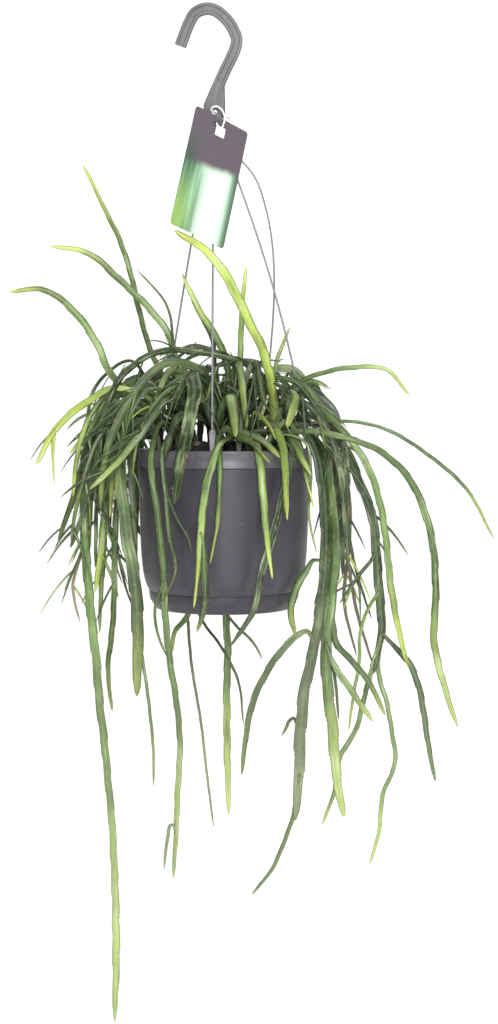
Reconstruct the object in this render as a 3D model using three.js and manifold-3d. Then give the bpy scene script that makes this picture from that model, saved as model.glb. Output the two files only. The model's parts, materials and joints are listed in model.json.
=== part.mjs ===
// Potted lepismium bolivianum: a hanging pot with a forest cactus of flat, arching and trailing stems.
// Millimetres, +Z up, +Y away from the viewer. The origin is the inner top of the hook's crown.
import * as THREE from "three";
import { mergeVertices } from "three/addons/utils/BufferGeometryUtils.js";
import Module from "manifold-3d";

const wasm = await Module();
wasm.setup();

// Pot
const POT_X = 12; // the pot's axis stands a little right of the hook's crown
const RIM_Z = -377; // the rim's top below the crown
const RIM_R = 75;
const RIM_THICK = 2;
const RIM_BEVEL = 0.8;
const COLLAR_H = 14.7;
const COLLAR_THICK = 1.6;
const BODY_R = 73.8; // just under the collar
const BODY_BEND = [[72.8, -94], [71.4, -113]]; // what pulls the wall out to a full, round side
const BODY_FOOT = [62.8, -123];
const BODY_STEPS = 6;
const INSIDE_STEPS = 4; // of the same curve, inside the wall
const WALL = 1.8;
const NECK_R = 70; // the wall inside the collar, outer face
const KNEE_R = 71.2; // where the wall starts to curve in to the foot
const KNEE_Z = -97;
const FOOT_R = 54;
const FOOT_Z = -134.9;
const SAUCER_R = 65;
const SAUCER_BASE_R = 58.8;
const SAUCER_TOP = -122.5;
const SAUCER_BASE = -137;
const SAUCER_WALL = 1.5;
const SAUCER_LIP = 7; // height of the saucer's steep upper part
const SAUCER_FLARE = 1.2;
const DRAINS = 4;
const DRAIN_R = 4;
const DRAIN_RING = 30;
const DRAIN_SIDES = 6;
const ROUND = 28; // faces round the pot
const GAP = 0.3; // between pieces that touch
const CUT = 2; // how far a cutter stands out of what it cuts

// Soil
const SOIL_EDGE_Z = -8;
const SOIL_DOME = 14;
const SOIL_RINGS = [66, 44, 20, 0];
const SOIL_NECK = 4; // from the pot's shoulder to where the soil widens under it
const SOIL_INSET = 1;
const STUB_R = 4.2;
const STUB_UP = 3;
const STUB_DEEP = 12;
const STUB_SIDES = 5;
const SITE_HOLDS = 4; // stems on one stub
const CROWDED = 5; // mm that a stem goes further for a stub with one stem less

// Strands, from the rim up to the hook's head
const STRAND_R = 0.95;
const STRAND_SIDES = 5;
const STRAND_STEPS = 11;
const STRAND_PARTS = 8;
const STRAND_DROP = 2; // from the cap down to where the strand leaves its plug
const PLUG_R = 1.05;
const PLUG_UP = 7.4;
const PLUG_DOWN = 1;
const PLUG_SIDES = 6;
const PEG_RING = 71.8;
const PEG_W = 5;
const PEG_THICK = 1.6;
const PEG_DEEP = 9;
const BEAD_R = 2.3;
const BEAD_SIDES = 6;
const BEAD_RINGS = 4;
const BEAD_Z = 16;

// Hook and its head, in the part's own frame
const HOOK_W = 10;
const HOOK_THICK = 6;
const HOOK_BEVEL = 1.4;
const HOOK_STEPS = 22;
const HEAD_W = 19;
const HEAD_THICK = 5.4;
const HEAD_TOP = -61;
const HEAD_BASE = -97;
const HEAD_X = 3.8;
const HEAD_BEVEL = 3;
const HEAD_HOLE_Z = -85;
const HEAD_HOLE_R = 2.3;
const HEAD_HOLE_SIDES = 12;
const CAP_R = 8.2;
const CAP_BASE = -105;
const CAP_H = 9;
const CAP_SIDES = 18;
const SOCKET_RING = 5.4;
const SOCKET_R = 1.6;
const SOCKET_DEEP = 6;
const SOCKET_SIDES = 8;

// Plant tag and its tie
const TAG_W = 55.7;
const TAG_H = 113.7;
const TAG_THICK = 0.8;
const TAG_ROUND = 3;
const TAG_CORNER = new THREE.Vector3(-23.4, -21, 294.4);
const TAG_ACROSS = new THREE.Vector3(44.2, 28, -19.1).normalize();
const TAG_DOWN = new THREE.Vector3(-20.8, -38.7, -104.9).normalize();
const TAG_OUT = TAG_DOWN.clone().cross(TAG_ACROSS).normalize();
const TAG_HOLE = [23, 6.8];
const TAG_HOLE_R = 2.4;
const TIE_R = 0.8;
const TIE_SIDES = 5;
const TIE_STEPS = 25;
const LOCK = 9.5;
const LOCK_ASIDE = [4.5, 6.6]; // from the tag's hole, across and down the tag
const LOCK_OUT = 1.6;
const LOCK_THICK = 1.4;

// Stems
const VIEW_DISTANCE = 1476; // from the viewer to the pot's axis
const VIEW_X = 21.7;
const VIEW_Z = 44;
const BASE_HALF = 1.6; // half width of the round base of a stem
const BASE_LENGTH = 34;
const BASE_FULL = 0.8; // share of the extra thickness that a base has
const HALF_THICK = 1.05;
const BASE_MOST = 0.45; // share of a short stem's length that its base takes
const TIP_LENGTH = 60;
const TIP_MOST = 0.4; // share of a short stem's length that its tip takes
const TIP_THICK = 0.6;
const TIP_SHARE = 0.4; // a tip's width in shares of the full one
const NOTCH = 0.28; // share of the half width that an edge is cut in
const NOTCHED = 1.8; // a stem under this half width has plain edges
const STATION = 37; // mm of stem for each station
const STATION_CROWD = 1.25; // over 1, stations are closer at the root
const THIN = 3.5; // a stem under this width has fewer stations
const THIN_STATION = 1.5 * STATION;
const REACH = 120; // mm of stem until it hangs at its own depth
const SEED = 101;
const MAX_ROLL = 0.55; // radians that a blade turns about its own line
const FREE_HANGING = 0.7; // share of a stem's length at which its blade faces the viewer, but for its roll
const ROOT_OFF = 1.3; // from the stub's axis, towards where the stem leans
const ROOT_LEAN = 2.5;
const ROOT_UP = 14;

// How stems bend clear of each other
const CLEAR = 0.75;
const ROUNDS = 90;
const SORT_EVERY = 10; // rounds from one search for close stretches to the next
const TINY = 1e-6;
const NEAR = 7; // mm round a stretch in which others are looked for
const STIFF = 40; // mm of stem that gives way only in part
const STIFF_BRANCH = 22;
const ROOM = 3.4; // from a stem's line to the pot and the soil
const TAG_ROOM = 2.4;
const TAG_ROOM_SHARE = 0.8; // of the stem's half width
const KEPT = 0.6; // share of a push that stays at its own station
const PASSED = 0.2; // share of it that goes to each neighbour

const radians = THREE.MathUtils.degToRad;

const wrap = (solid) => {
  const mesh = solid.getMesh();
  const geometry = new THREE.BufferGeometry();
  geometry.setAttribute("position", new THREE.BufferAttribute(mesh.vertProperties, 3));
  geometry.setIndex(new THREE.BufferAttribute(mesh.triVerts, 1));
  return geometry;
};

const solidOf = (geometry) => {
  const bare = geometry.clone();
  bare.deleteAttribute("normal");
  bare.deleteAttribute("uv");
  const merged = mergeVertices(bare, 1e-4);
  return new wasm.Manifold(
    new wasm.Mesh({
      numProp: 3,
      vertProperties: merged.attributes.position.array,
      triVerts: new Uint32Array(merged.index.array),
    }),
  );
};

const joined = (solids) => solids.reduce((whole, solid) => whole.add(solid));

// A lathe stands on +Y in three.js, so it is stood up along +Z.
const turned = (outline, sides = ROUND) => {
  const points = outline.map(([r, z]) => new THREE.Vector2(r, z));
  const geometry = new THREE.LatheGeometry(points, sides);
  return geometry.rotateX(Math.PI / 2);
};

const rod = (r, low, high, sides, x, y) => {
  const geometry = new THREE.CylinderGeometry(r, r, high - low, sides);
  return geometry.rotateX(Math.PI / 2).translate(x, y, (low + high) / 2);
};

const roundSection = (r, sides) => {
  const shape = new THREE.Shape();
  shape.absarc(0, 0, r, 0, 2 * Math.PI);
  return new THREE.Shape(shape.getSpacedPoints(sides).slice(0, sides));
};

const tube = (points, r, sides, steps) => {
  const path = new THREE.CatmullRomCurve3(points, false, "centripetal");
  return new THREE.ExtrudeGeometry(roundSection(r, sides), { steps, extrudePath: path });
};

const material = (color, roughness, metalness = 0) =>
  new THREE.MeshStandardMaterial({ color, roughness, metalness });

const potGroup = new THREE.Group();
potGroup.position.set(POT_X, 0, RIM_Z);
const part = new THREE.Group();
part.add(potGroup);

const addTo = (group, name, geometry, look) => {
  const mesh = new THREE.Mesh(geometry, look);
  mesh.name = name;
  group.add(mesh);
};

// A seeded draw from 0 to 1: the same stems every time.
const drawer = (seed) => {
  let state = seed;
  return () => {
    state = (Math.imul(state, 1664525) + 1013904223) >>> 0;
    return state / 4294967296;
  };
};

// Pot, saucer and soil

const bodyCurve = new THREE.CubicBezierCurve(
  new THREE.Vector2(BODY_R, -COLLAR_H - GAP),
  new THREE.Vector2(...BODY_BEND[0]),
  new THREE.Vector2(...BODY_BEND[1]),
  new THREE.Vector2(...BODY_FOOT),
);

// The wall's curve set in by a distance, from its top down.
const insideCurve = (off) =>
  bodyCurve
    .getPoints(INSIDE_STEPS)
    .slice(1)
    .map((p) => [p.x - off, p.y]);

const potOutline = () => {
  const outside = bodyCurve.getPoints(BODY_STEPS).map((p) => [p.x, p.y]);
  return [
    [0, FOOT_Z],
    [FOOT_R, FOOT_Z],
    ...outside.toReversed(),
    [NECK_R, -COLLAR_H - GAP],
    [NECK_R, -RIM_THICK],
    [RIM_R - COLLAR_THICK, -RIM_THICK],
    [RIM_R - COLLAR_THICK, -COLLAR_H],
    [RIM_R, -COLLAR_H],
    [RIM_R, -RIM_BEVEL],
    [RIM_R - RIM_BEVEL, 0],
    [NECK_R - WALL, 0],
    [NECK_R - WALL, -COLLAR_H - GAP - WALL],
    ...insideCurve(WALL),
    [FOOT_R - WALL, FOOT_Z + WALL],
    [0, FOOT_Z + WALL],
  ];
};

// Each strand's clip on the rim, in degrees from the right and away from the viewer, how far and
// which way the strand bows, and at what share of its way down it bows most.
const STRANDS = [
  { name: "strand_front", clip: -97, bow: 1, lean: -97, widest: 0.5 },
  { name: "strand_right", clip: -4, bow: 7, lean: -4, widest: 0.5 },
  { name: "strand_back", clip: 62, bow: 36, lean: 18, widest: 0.32 },
  { name: "strand_left", clip: 142, bow: 1, lean: 142, widest: 0.5 },
];
const clipAngles = STRANDS.map(({ clip }) => radians(clip));

const makePot = () => {
  let pot = solidOf(turned(potOutline()));
  for (const angle of clipAngles) {
    const slot = new THREE.BoxGeometry(PEG_THICK + 2 * GAP, PEG_W + 2 * GAP, 4 * RIM_THICK);
    slot.translate(PEG_RING, 0, -RIM_THICK / 2).rotateZ(angle);
    pot = pot.subtract(solidOf(slot));
  }
  for (let k = 0; k < DRAINS; k += 1) {
    const angle = (2 * Math.PI * k) / DRAINS;
    const x = DRAIN_RING * Math.cos(angle);
    const y = DRAIN_RING * Math.sin(angle);
    const drain = rod(DRAIN_R, FOOT_Z - CUT, FOOT_Z + WALL + CUT, DRAIN_SIDES, x, y);
    pot = pot.subtract(solidOf(drain));
  }
  return wrap(pot);
};

const makeSaucer = () => {
  const outline = [
    [0, SAUCER_BASE],
    [SAUCER_BASE_R, SAUCER_BASE],
    [SAUCER_R - SAUCER_FLARE, SAUCER_TOP - SAUCER_LIP],
    [SAUCER_R, SAUCER_TOP],
    [SAUCER_R - SAUCER_WALL, SAUCER_TOP],
    [SAUCER_R - SAUCER_FLARE - SAUCER_WALL, SAUCER_TOP - SAUCER_LIP],
    [SAUCER_BASE_R - SAUCER_WALL, FOOT_Z - GAP],
    [0, FOOT_Z - GAP],
  ];
  return wrap(solidOf(turned(outline)));
};

const soilTop = (r) => SOIL_EDGE_Z + SOIL_DOME * (1 - (r / NECK_R) ** 2);

// The places where stems are rooted: rings of stubs set in plain holes.
const RINGS = [
  { name: "centre", r: 10, count: 3, turn: 0.5 },
  { name: "inner", r: 27, count: 7, turn: 0.1 },
  { name: "middle", r: 44, count: 10, turn: 0.3 },
  { name: "outer", r: 59, count: 14, turn: 0 },
];

const sites = RINGS.flatMap(({ name, r, count, turn }) =>
  Array.from({ length: count }, (_, k) => {
    const angle = (2 * Math.PI * (k + turn)) / count;
    return {
      name: `stems_${name}_${k + 1}`,
      x: r * Math.cos(angle),
      y: r * Math.sin(angle),
      top: soilTop(r),
      stems: [],
    };
  }),
);

const usedSites = () => sites.filter((site) => site.stems.length > 0);

const makeSoil = () => {
  const off = WALL + GAP;
  let soil = solidOf(
    turned([
      [0, FOOT_Z + off],
      [FOOT_R - off - SOIL_INSET, FOOT_Z + off],
      ...insideCurve(off).toReversed(),
      [NECK_R - off, -COLLAR_H - off - SOIL_NECK],
      [NECK_R - off, SOIL_EDGE_Z],
      ...SOIL_RINGS.map((r) => [r, soilTop(r)]),
    ]),
  );
  const top = SOIL_EDGE_Z + SOIL_DOME + CUT;
  for (const { x, y, top: level } of usedSites()) {
    const hole = rod(STUB_R + GAP, level - STUB_DEEP - GAP, top, STUB_SIDES, x, y);
    soil = soil.subtract(solidOf(hole));
  }
  return wrap(soil);
};

// Hook and strands

const HOOK_LINE = [
  [-25.7, -27.4],
  [-22.1, -17.4],
  [-18.1, -7.5],
  [-13.4, 0.4],
  [-6.8, 4.1],
  [-0.2, 4.65],
  [6.4, 2.2],
  [14.4, -4.9],
  [20.4, -14.1],
  [23.1, -22.1],
  [21.7, -30.1],
  [18.4, -38],
  [13.1, -48.6],
  [8.4, -59.2],
  [5.1, -67.2],
  [3.8, -75.9],
  [3.8, -82],
];

const hookSection = () => {
  const x = HOOK_THICK / 2;
  const y = HOOK_W / 2;
  const corners = [
    [x, y - HOOK_BEVEL],
    [x - HOOK_BEVEL, y],
    [HOOK_BEVEL - x, y],
    [-x, y - HOOK_BEVEL],
    [-x, HOOK_BEVEL - y],
    [HOOK_BEVEL - x, -y],
    [x - HOOK_BEVEL, -y],
    [x, HOOK_BEVEL - y],
  ];
  return new THREE.Shape(corners.map(([a, b]) => new THREE.Vector2(a, b)));
};

// The hook's foot: the shank's left side runs on into it and its right side drops straight down.
const headPlate = () => {
  const left = HEAD_X - HEAD_W / 2;
  const right = HEAD_X + HEAD_W / 2;
  const corners = [
    [left + HEAD_BEVEL, HEAD_BASE],
    [right - HEAD_BEVEL, HEAD_BASE],
    [right, HEAD_BASE + HEAD_BEVEL],
    [right - 0.7, HEAD_TOP],
    [HEAD_X + 1, HEAD_TOP + 6],
    [left + 7.6, HEAD_TOP],
    [left, HEAD_TOP - 18],
    [left, HEAD_BASE + HEAD_BEVEL],
  ];
  const shape = new THREE.Shape(corners.map(([x, z]) => new THREE.Vector2(x, z)));
  const plate = new THREE.ExtrudeGeometry(shape, { depth: HEAD_THICK, bevelEnabled: false });
  return plate.translate(0, 0, -HEAD_THICK / 2).rotateX(Math.PI / 2);
};

const socketAt = (angle) => [
  HEAD_X + SOCKET_RING * Math.cos(angle),
  SOCKET_RING * Math.sin(angle),
];

const makeHook = () => {
  const line = HOOK_LINE.map(([x, z]) => new THREE.Vector3(x, 0, z));
  const path = new THREE.CatmullRomCurve3(line, false, "centripetal");
  const body = new THREE.ExtrudeGeometry(hookSection(), { steps: HOOK_STEPS, extrudePath: path });
  const cap = rod(CAP_R, CAP_BASE, CAP_BASE + CAP_H, CAP_SIDES, HEAD_X, 0);
  const eye = new THREE.CylinderGeometry(HEAD_HOLE_R, HEAD_HOLE_R, 3 * HOOK_THICK, HEAD_HOLE_SIDES);
  eye.translate(HEAD_X, 0, HEAD_HOLE_Z);
  let hook = joined([body, headPlate(), cap].map(solidOf)).subtract(solidOf(eye));
  for (const angle of clipAngles) {
    const [x, y] = socketAt(angle);
    const socket = rod(SOCKET_R, CAP_BASE - CUT, CAP_BASE + SOCKET_DEEP, SOCKET_SIDES, x, y);
    hook = hook.subtract(solidOf(socket));
  }
  return wrap(hook);
};

const strandPoints = ({ clip, bow, lean, widest }) => {
  const angle = radians(clip);
  const [sx, sy] = socketAt(angle);
  const top = new THREE.Vector3(sx - POT_X, sy, CAP_BASE - RIM_Z);
  const out = new THREE.Vector3(Math.cos(angle), Math.sin(angle), 0);
  const foot = out.clone().multiplyScalar(PEG_RING).setZ(BEAD_Z);
  const aside = new THREE.Vector3(Math.cos(radians(lean)), Math.sin(radians(lean)), 0);
  const early = Math.log(0.5) / Math.log(widest);
  const points = [top.clone().setZ(top.z - STRAND_DROP)];
  for (let k = 1; k < STRAND_PARTS; k += 1) {
    const t = k / STRAND_PARTS;
    const point = top.clone().lerp(foot, t);
    point.addScaledVector(aside, bow * Math.sin(Math.PI * t ** early));
    points.push(point);
  }
  points.push(foot);
  return points;
};

const makeStrand = (strand) => {
  const angle = radians(strand.clip);
  const points = strandPoints(strand);
  const [top] = points;
  const foot = points.at(-1);
  const cord = tube(points, STRAND_R, STRAND_SIDES, STRAND_STEPS);
  const plug = rod(PLUG_R, top.z - PLUG_DOWN, top.z + PLUG_UP, PLUG_SIDES, top.x, top.y);
  const bead = new THREE.SphereGeometry(BEAD_R, BEAD_SIDES, BEAD_RINGS).translate(...foot);
  const peg = new THREE.BoxGeometry(PEG_THICK, PEG_W, BEAD_Z + PEG_DEEP);
  peg.translate(PEG_RING, 0, (BEAD_Z - PEG_DEEP) / 2).rotateZ(angle);
  return wrap(joined([cord, plug, bead, peg].map(solidOf)));
};

// Tag and tie

const onTag = (across, down, out) =>
  TAG_CORNER.clone()
    .addScaledVector(TAG_ACROSS, across)
    .addScaledVector(TAG_DOWN, down)
    .addScaledVector(TAG_OUT, out);

const tagFrame = (place) => {
  const normal = TAG_ACROSS.clone().cross(TAG_DOWN);
  return new THREE.Matrix4().makeBasis(TAG_ACROSS, TAG_DOWN, normal).setPosition(place);
};

const makeTag = () => {
  const r = TAG_ROUND;
  const shape = new THREE.Shape();
  shape.moveTo(r, 0);
  shape.lineTo(TAG_W - r, 0);
  shape.quadraticCurveTo(TAG_W, 0, TAG_W, r);
  shape.lineTo(TAG_W, TAG_H - r);
  shape.quadraticCurveTo(TAG_W, TAG_H, TAG_W - r, TAG_H);
  shape.lineTo(r, TAG_H);
  shape.quadraticCurveTo(0, TAG_H, 0, TAG_H - r);
  shape.lineTo(0, r);
  shape.quadraticCurveTo(0, 0, r, 0);
  const hole = new THREE.Path();
  hole.absarc(TAG_HOLE[0], TAG_HOLE[1], TAG_HOLE_R, 0, 2 * Math.PI);
  shape.holes.push(hole);
  const plate = new THREE.ExtrudeGeometry(shape, {
    depth: TAG_THICK,
    bevelEnabled: false,
    curveSegments: 3,
  });
  return plate.translate(0, 0, -TAG_THICK / 2).applyMatrix4(tagFrame(TAG_CORNER));
};

// The tie's loop comes out of the head's eye, over in front of it and down to its lock on the tag. Its
// other end goes through the tag's hole, behind the tag and round the head's right edge to the eye.
const TIE_AT_EYE = [
  [9, -9.4, -6],
  [6.4, -9.6, 0.5],
  [2.2, -9, 3.6],
  [-1.8, -7.6, 2.8],
  [-2.6, -5, 0.6],
  [-0.2, -2.8, 0],
  [0, 2.8, 0],
  [4, 6.2, -1],
  [11, 5.4, -3.4],
  [13.6, 0, -5.6],
  [12.6, -2.9, -7.4],
];

const makeTie = () => {
  const eye = new THREE.Vector3(HEAD_X - POT_X, 0, HEAD_HOLE_Z - RIM_Z);
  const [u, v] = TAG_HOLE;
  const lock = onTag(u + LOCK_ASIDE[0], v + LOCK_ASIDE[1], LOCK_OUT);
  const near = (across, down, out) => onTag(u + across, v + down, out);
  const points = [
    lock,
    near(5, 0.5, 3.4),
    ...TIE_AT_EYE.map((step) => eye.clone().add(new THREE.Vector3(...step))),
    near(5, -7.4, -1.9),
    near(1.2, -1.8, -1.6),
    near(0, 0, 0.4),
    near(1.6, 3.4, 2),
    lock,
  ];
  const loop = tube(points, TIE_R, TIE_SIDES, TIE_STEPS);
  const plate = new THREE.BoxGeometry(LOCK, LOCK, LOCK_THICK).applyMatrix4(tagFrame(lock));
  return wrap(joined([loop, plate].map(solidOf)));
};

// Stems. Each row names a stem and gives its width, the depth of its root, the depth that it hangs at
// and then its line as it looks from the front, across and up in mm at the pot's axis, root to tip.
// A branch gives the stem that it grows on, and its step towards the back, in place of the depths.
const STEMS = `
up_1 6 -5 -25: -40,0 -62,30 -82,46 -95,56 -100,70 -110,91 -130,119 -150,134 -169,143 -187,136
up_2 6 10 15: -25,0 -38,40 -42,80 -50,103 -65,122 -77,133 -100,155 -120,171 -140,180 -151,176
up_3 4.5 25 30: -30,0 -42,35 -50,58 -56,66 -65,88 -72,112 -82,158 -90,180 -98,198 -110,220 -123,246
up_4 2.4 5 10: -35,0 -42,50 -44,92 -46,105 -50,125 -60,142 -75,155
up_5a 4.5 10 8: -5,0 -8,50 -9,85 -10,95 -17,110 -25,125 -36,152
up_5b 6 -8 -12: 5,0 5,50 3,80 0,85 -8,100 -20,118 -35,148
up_6 8 -15 -70: 38,0 40,30 40,55 38,70 32,90 22,110 12,130 0,153 -8,165 -17,173 -30,183 -43,190
up_7 5.5 0 -5: 14,0 14,40 14,78 15,110 17,140 19,158
up_8 4.5 8 10: 42,0 38,25 41,50 45,70 50,90 57,105
up_9 4.5 5 -5: 48,0 56,38 67,60 80,64 100,68 115,71 130,72 142,68 152,59 161,46
up_9b 4 up_9 -8: 70,62 78,58 87,54
left_7 3 20 12: -50,0 -62,45 -78,76 -90,74 -103,67 -113,50 -119,30 -120,10 -126,-30
left_8 3 -2 -10: -42,0 -45,50 -37,91 -25,90 -12,83 0,78 10,68
left_5 7.5 -12 -38: -35,0 -50,35 -75,50 -100,52 -115,43 -130,32 -145,18 -155,2 -163,-14
left_6 5 15 -5: -50,0 -72,36 -100,40 -110,28 -120,12 -134,-5
left_9 6.5 -25 -62: -25,5 -35,42 -45,50 -62,30 -75,10 -85,-3 -100,-20 -117,-35
left_1 7.5 -5 -18: -45,0 -65,30 -88,32 -108,5 -120,-35 -121,-75 -119,-100 -117,-130 -113,-165 -109,-200
  -107,-230 -103,-260 -99,-300 -96,-340 -95,-380 -94,-420 -94,-460 -95,-497
left_2 10 -20 -36: -50,0 -68,22 -85,18 -92,-10 -88,-40 -85,-70 -80,-100 -76,-130 -75,-160 -75,-190 -75,-215
left_3 7 -8 5: -55,0 -75,15 -92,0 -101,-35 -105,-70 -108,-100 -112,-125
left_3a 5 12 18: -50,0 -78,30 -97,10 -103,-50 -105,-100 -107,-130 -108,-160
left_3b 5.5 0 -8: -55,0 -75,10 -88,-10 -93,-50 -95,-90 -95,-120 -96,-150 -100,-180 -100,-210 -97,-228
left_4 2.6 left_3 12: -100,-60 -92,-90 -88,-110 -82,-130 -78,-140
left_thin_1 6.5 25 28: -45,0 -75,40 -105,28 -119,0 -127,-30 -136,-58 -144,-80
left_thin_2 6 5 -30: -50,0 -80,38 -104,15 -112,-15 -118,-42 -125,-64 -133,-86
left_thin_3 4.5 -15 -50: -50,0 -72,35 -100,20 -122,-25 -133,-80
left_thin_4 3.2 18 35: -50,0 -82,28 -108,-5 -118,-45 -120,-75 -125,-100 -130,-112 -138,-123
left_thin_5 3 left_thin_4 -8: -128,-100 -131,-115 -130,-130 -125,-150
right_1 3 5 0: 45,0 70,22 97,24 125,22 140,17 155,9 170,0 185,-12 200,-25 215,-40 225,-52 232,-67 234,-78
right_2 6 -38 -34: 30,0 50,12 70,14 90,12 110,8 130,1 150,-13 163,-30 173,-52 180,-75 184,-115 183,-140
  182,-165 183,-180 187,-195 195,-215 203,-242
right_3 6 -12 -14: 35,0 55,46 72,54 88,31 104,14 112,6 122,-10 130,-30 136,-50 140,-75 143,-100 146,-125
  150,-150 155,-172 160,-190
right_11 8 10 16: 45,5 75,32 98,12 112,-15 120,-35 127,-50 130,-75 133,-100 135,-130 137,-155 134,-175
  130,-195
right_4 5.5 right_11 -14: 137,-150 148,-172 160,-185 167,-200 173,-225 177,-255 183,-289
right_5 4.5 right_11 14: 133,-172 134,-190 140,-215 144,-240 150,-258 149,-270 143,-285 138,-300 136,-320
  134,-340 132,-355 126,-361
right_9 4.5 right_11 0: 132,-180 122,-215 117,-235 110,-255 100,-270 95,-300 85,-326
right_12b 3 right_11 10: 134,-110 122,-145 117,-170 117,-195 112,-215 108,-245
right_6 10 -20 -30: 40,0 60,18 75,12 82,-8 85,-30 88,-60 88,-90 86,-120 83,-150 78,-170 72,-190 68,-215
  65,-240 65,-270 64,-300 61,-322
right_7 9 -10 -18: 45,0 66,18 83,5 91,-30 95,-60 96,-90 94,-120 90,-150 88,-180 90,-210 94,-240 96,-270
  99,-290 104,-320
right_6t 3 right_6 -6: 67,-222 60,-232 55,-241 49,-250
right_7b 3 right_7 8: 89,-178 97,-200 99,-235
right_8a 6 right_7 14: 92,-140 98,-170 110,-183 122,-195 130,-210 140,-232
right_8b 6 right_7 -10: 90,-155 92,-180 100,-195 112,-212 129,-237
right_10 5.5 right_6 -14: 82,-150 75,-158 62,-163 50,-175 38,-192 28,-212 22,-235 18,-255 15,-283
right_12a 3 20 30: 50,0 78,20 95,-10 104,-50 108,-100 112,-130 118,-150 125,-175 130,-190
right_12c 3 30 42: 50,5 75,30 98,0 110,-50 108,-90 104,-130 110,-160 115,-180
right_13 6 right_6 -12: 87,-80 79,-96 70,-108 63,-120 59,-132 58,-146 62,-163
right_14 2.6 -38 -52: 40,0 58,10 66,-20 70,-50 75,-70 80,-90
front_1 12 -10 -88: 5,0 -5,55 -18,70 -22,50 -28,30 -33,10 -37,-10 -40,-30 -43,-48
front_1b 8 -30 -80: -20,0 -32,32 -42,25 -47,8 -52,-8
front_2 6.5 -30 -92: 12,0 12,20 8,22 3,10 -2,-5 -8,-20 -13,-40 -17,-60 -20,-80 -22,-100 -23,-120 -26,-138
front_2b 5 -42 -84: 5,0 5,15 2,0 -4,-20 -6,-40 -5,-60 -8,-80 -12,-100
front_2c 6 front_2 -5: -19,-72 -17,-100 -16,-120 -17,-140 -24,-159
front_4 6 -48 -92: 0,0 2,14 8,5 15,-3 25,-10 36,-19
front_4b 6 -46 -84: 5,0 8,20 15,14 30,5 40,-2 47,-10
front_5 6.5 -40 -88: 15,0 17,18 20,6 22,-18 27,-35 32,-55 36,-75 39,-90 42,-113
front_6 7 -38 -76: 38,0 42,22 47,5 50,-10 52,-30 54,-62
front_6b 4 -30 -78: 25,0 24,32 32,26 42,18 45,8
front_7 5 -34 -62: 45,0 54,15 58,-20 65,-33 75,-50
front_7b 8 -26 -66: 40,0 46,22 56,8 62,-8 70,-18 75,-25
front_8 6 -32 -84: 40,0 47,14 50,-20 47,-50 45,-65 40,-85 35,-100 30,-120 25,-140 20,-155 12,-166 5,-172
front_9 7 45 92: 5,0 8,30 6,5 3,-60 1,-120 2,-145 3,-180 2,-220 3,-260 4,-318
front_9b 2.6 front_9 -8: 2,-140 8,-151 18,-160 28,-172 33,-183
front_10 5.5 -25 -74: -40,0 -52,24 -58,-8 -58,-40 -55,-80 -52,-110 -50,-160 -46,-190 -41,-220 -38,-250
  -39,-280 -41,-310 -42,-345 -44,-373
front_10b 2.6 front_10 -6: -42,-310 -45,-322 -50,-345 -52,-365
front_10c 2.6 front_10 6: -52,-115 -60,-140 -56,-165 -50,-180
front_11 2.8 40 88: -15,0 -24,26 -32,0 -33,-60 -32,-120 -31,-150 -29,-180 -24,-210 -19,-245 -15,-280 -9,-328
front_11b 2.6 front_11 -8: -31,-130 -18,-152 -5,-168 5,-185 12,-200 16,-220 17,-240
left_2b 3 left_2 8: -75,-155 -72,-170 -68,-200 -64,-235 -61,-265 -61,-293
front_thin_2 4 -32 -80: -30,0 -42,20 -48,-20 -48,-60 -47,-90 -42,-105 -40,-118 -47,-127 -55,-135
front_thin_3 3 front_thin_2 -6: -48,-45 -40,-62 -32,-75 -28,-90
crown_1 6 6 -40: 34,0 37,50 28,68 10,77 -8,80 -25,84 -45,87 -62,82 -80,71 -95,52 -105,24 -110,-10 -112,-46
crown_2 6.5 -16 -52: -6,0 -8,44 -20,64 -40,74 -60,66 -78,48 -94,20 -104,-12 -107,-52
crown_3 5 16 30: -30,0 -36,45 -22,66 0,74 22,76 42,68 60,48 72,22 76,-6
crown_4 4 -4 -46: 12,0 8,40 -6,58 -26,62 -46,54 -62,34 -74,8 -80,-24
crown_5 4.5 -12 -50: 14,0 20,42 36,60 54,62 70,50 82,28 88,0
crown_6 3 12 -10: 22,0 18,60 -2,82 -26,90 -44,88 -58,76
right_6e 3.8 right_6 2: 64,-300 60,-322 53,-340 45,-359 35,-375 24,-387
left_10 6 -16 -30: -55,0 -70,16 -80,-4 -80,-30 -78,-58 -76,-84
front_12 5 front_11 -10: -32,-120 -31,-143 -40,-154 -44,-163 -45,-178
right_15 3 24 34: 50,5 82,24 100,-10 106,-50 112,-96 122,-129 128,-148
right_16 3.5 right_11 -10: 130,-75 127,-98 112,-117 100,-134
left_11 4 6 -4: -52,0 -80,34 -100,20 -108,-10 -110,-44 -111,-75 -112,-103
left_12 4.5 2 -6: -48,0 -68,24 -77,0 -78,-40 -77,-80 -75,-110 -71,-134
stub_1 9 -30 -72: -5,0 -3,40 3,50 8,30 10,10
stub_2 9 -14 -60: 50,0 58,48 65,58 60,35 54,18
stub_3 4 -20 -46: 22,0 26,10 33,27 42,48
`;

// Seeded arches fill the crown and hang over the rim where the front isn't seen. Turn is the heading
// in degrees from the right, and away from the viewer; root and out are how far from the pot's axis
// the arch starts and ends; up and down are the heights of its top and of its tip.
const FILLS = [
  { count: 11, turn: [36, 148], root: [20, 58], up: [38, 74], out: [94, 150], down: [-128, -30], w: [5, 8] },
  { count: 7, turn: [150, 215], root: [25, 55], up: [40, 70], out: [96, 132], down: [-78, -20], w: [4, 6] },
  { count: 5, turn: [-25, 30], root: [25, 55], up: [40, 66], out: [88, 110], down: [-85, -30], w: [4, 6] },
  { count: 16, turn: [0, 360], root: [5, 50], up: [56, 88], out: [44, 82], down: [4, 46], w: [3.6, 7] },
];
const FILL_SEED = 7;
const FILL_SEED_STEP = 12;
const FILL_BEND = 12; // how far to either side an arch strays
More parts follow.
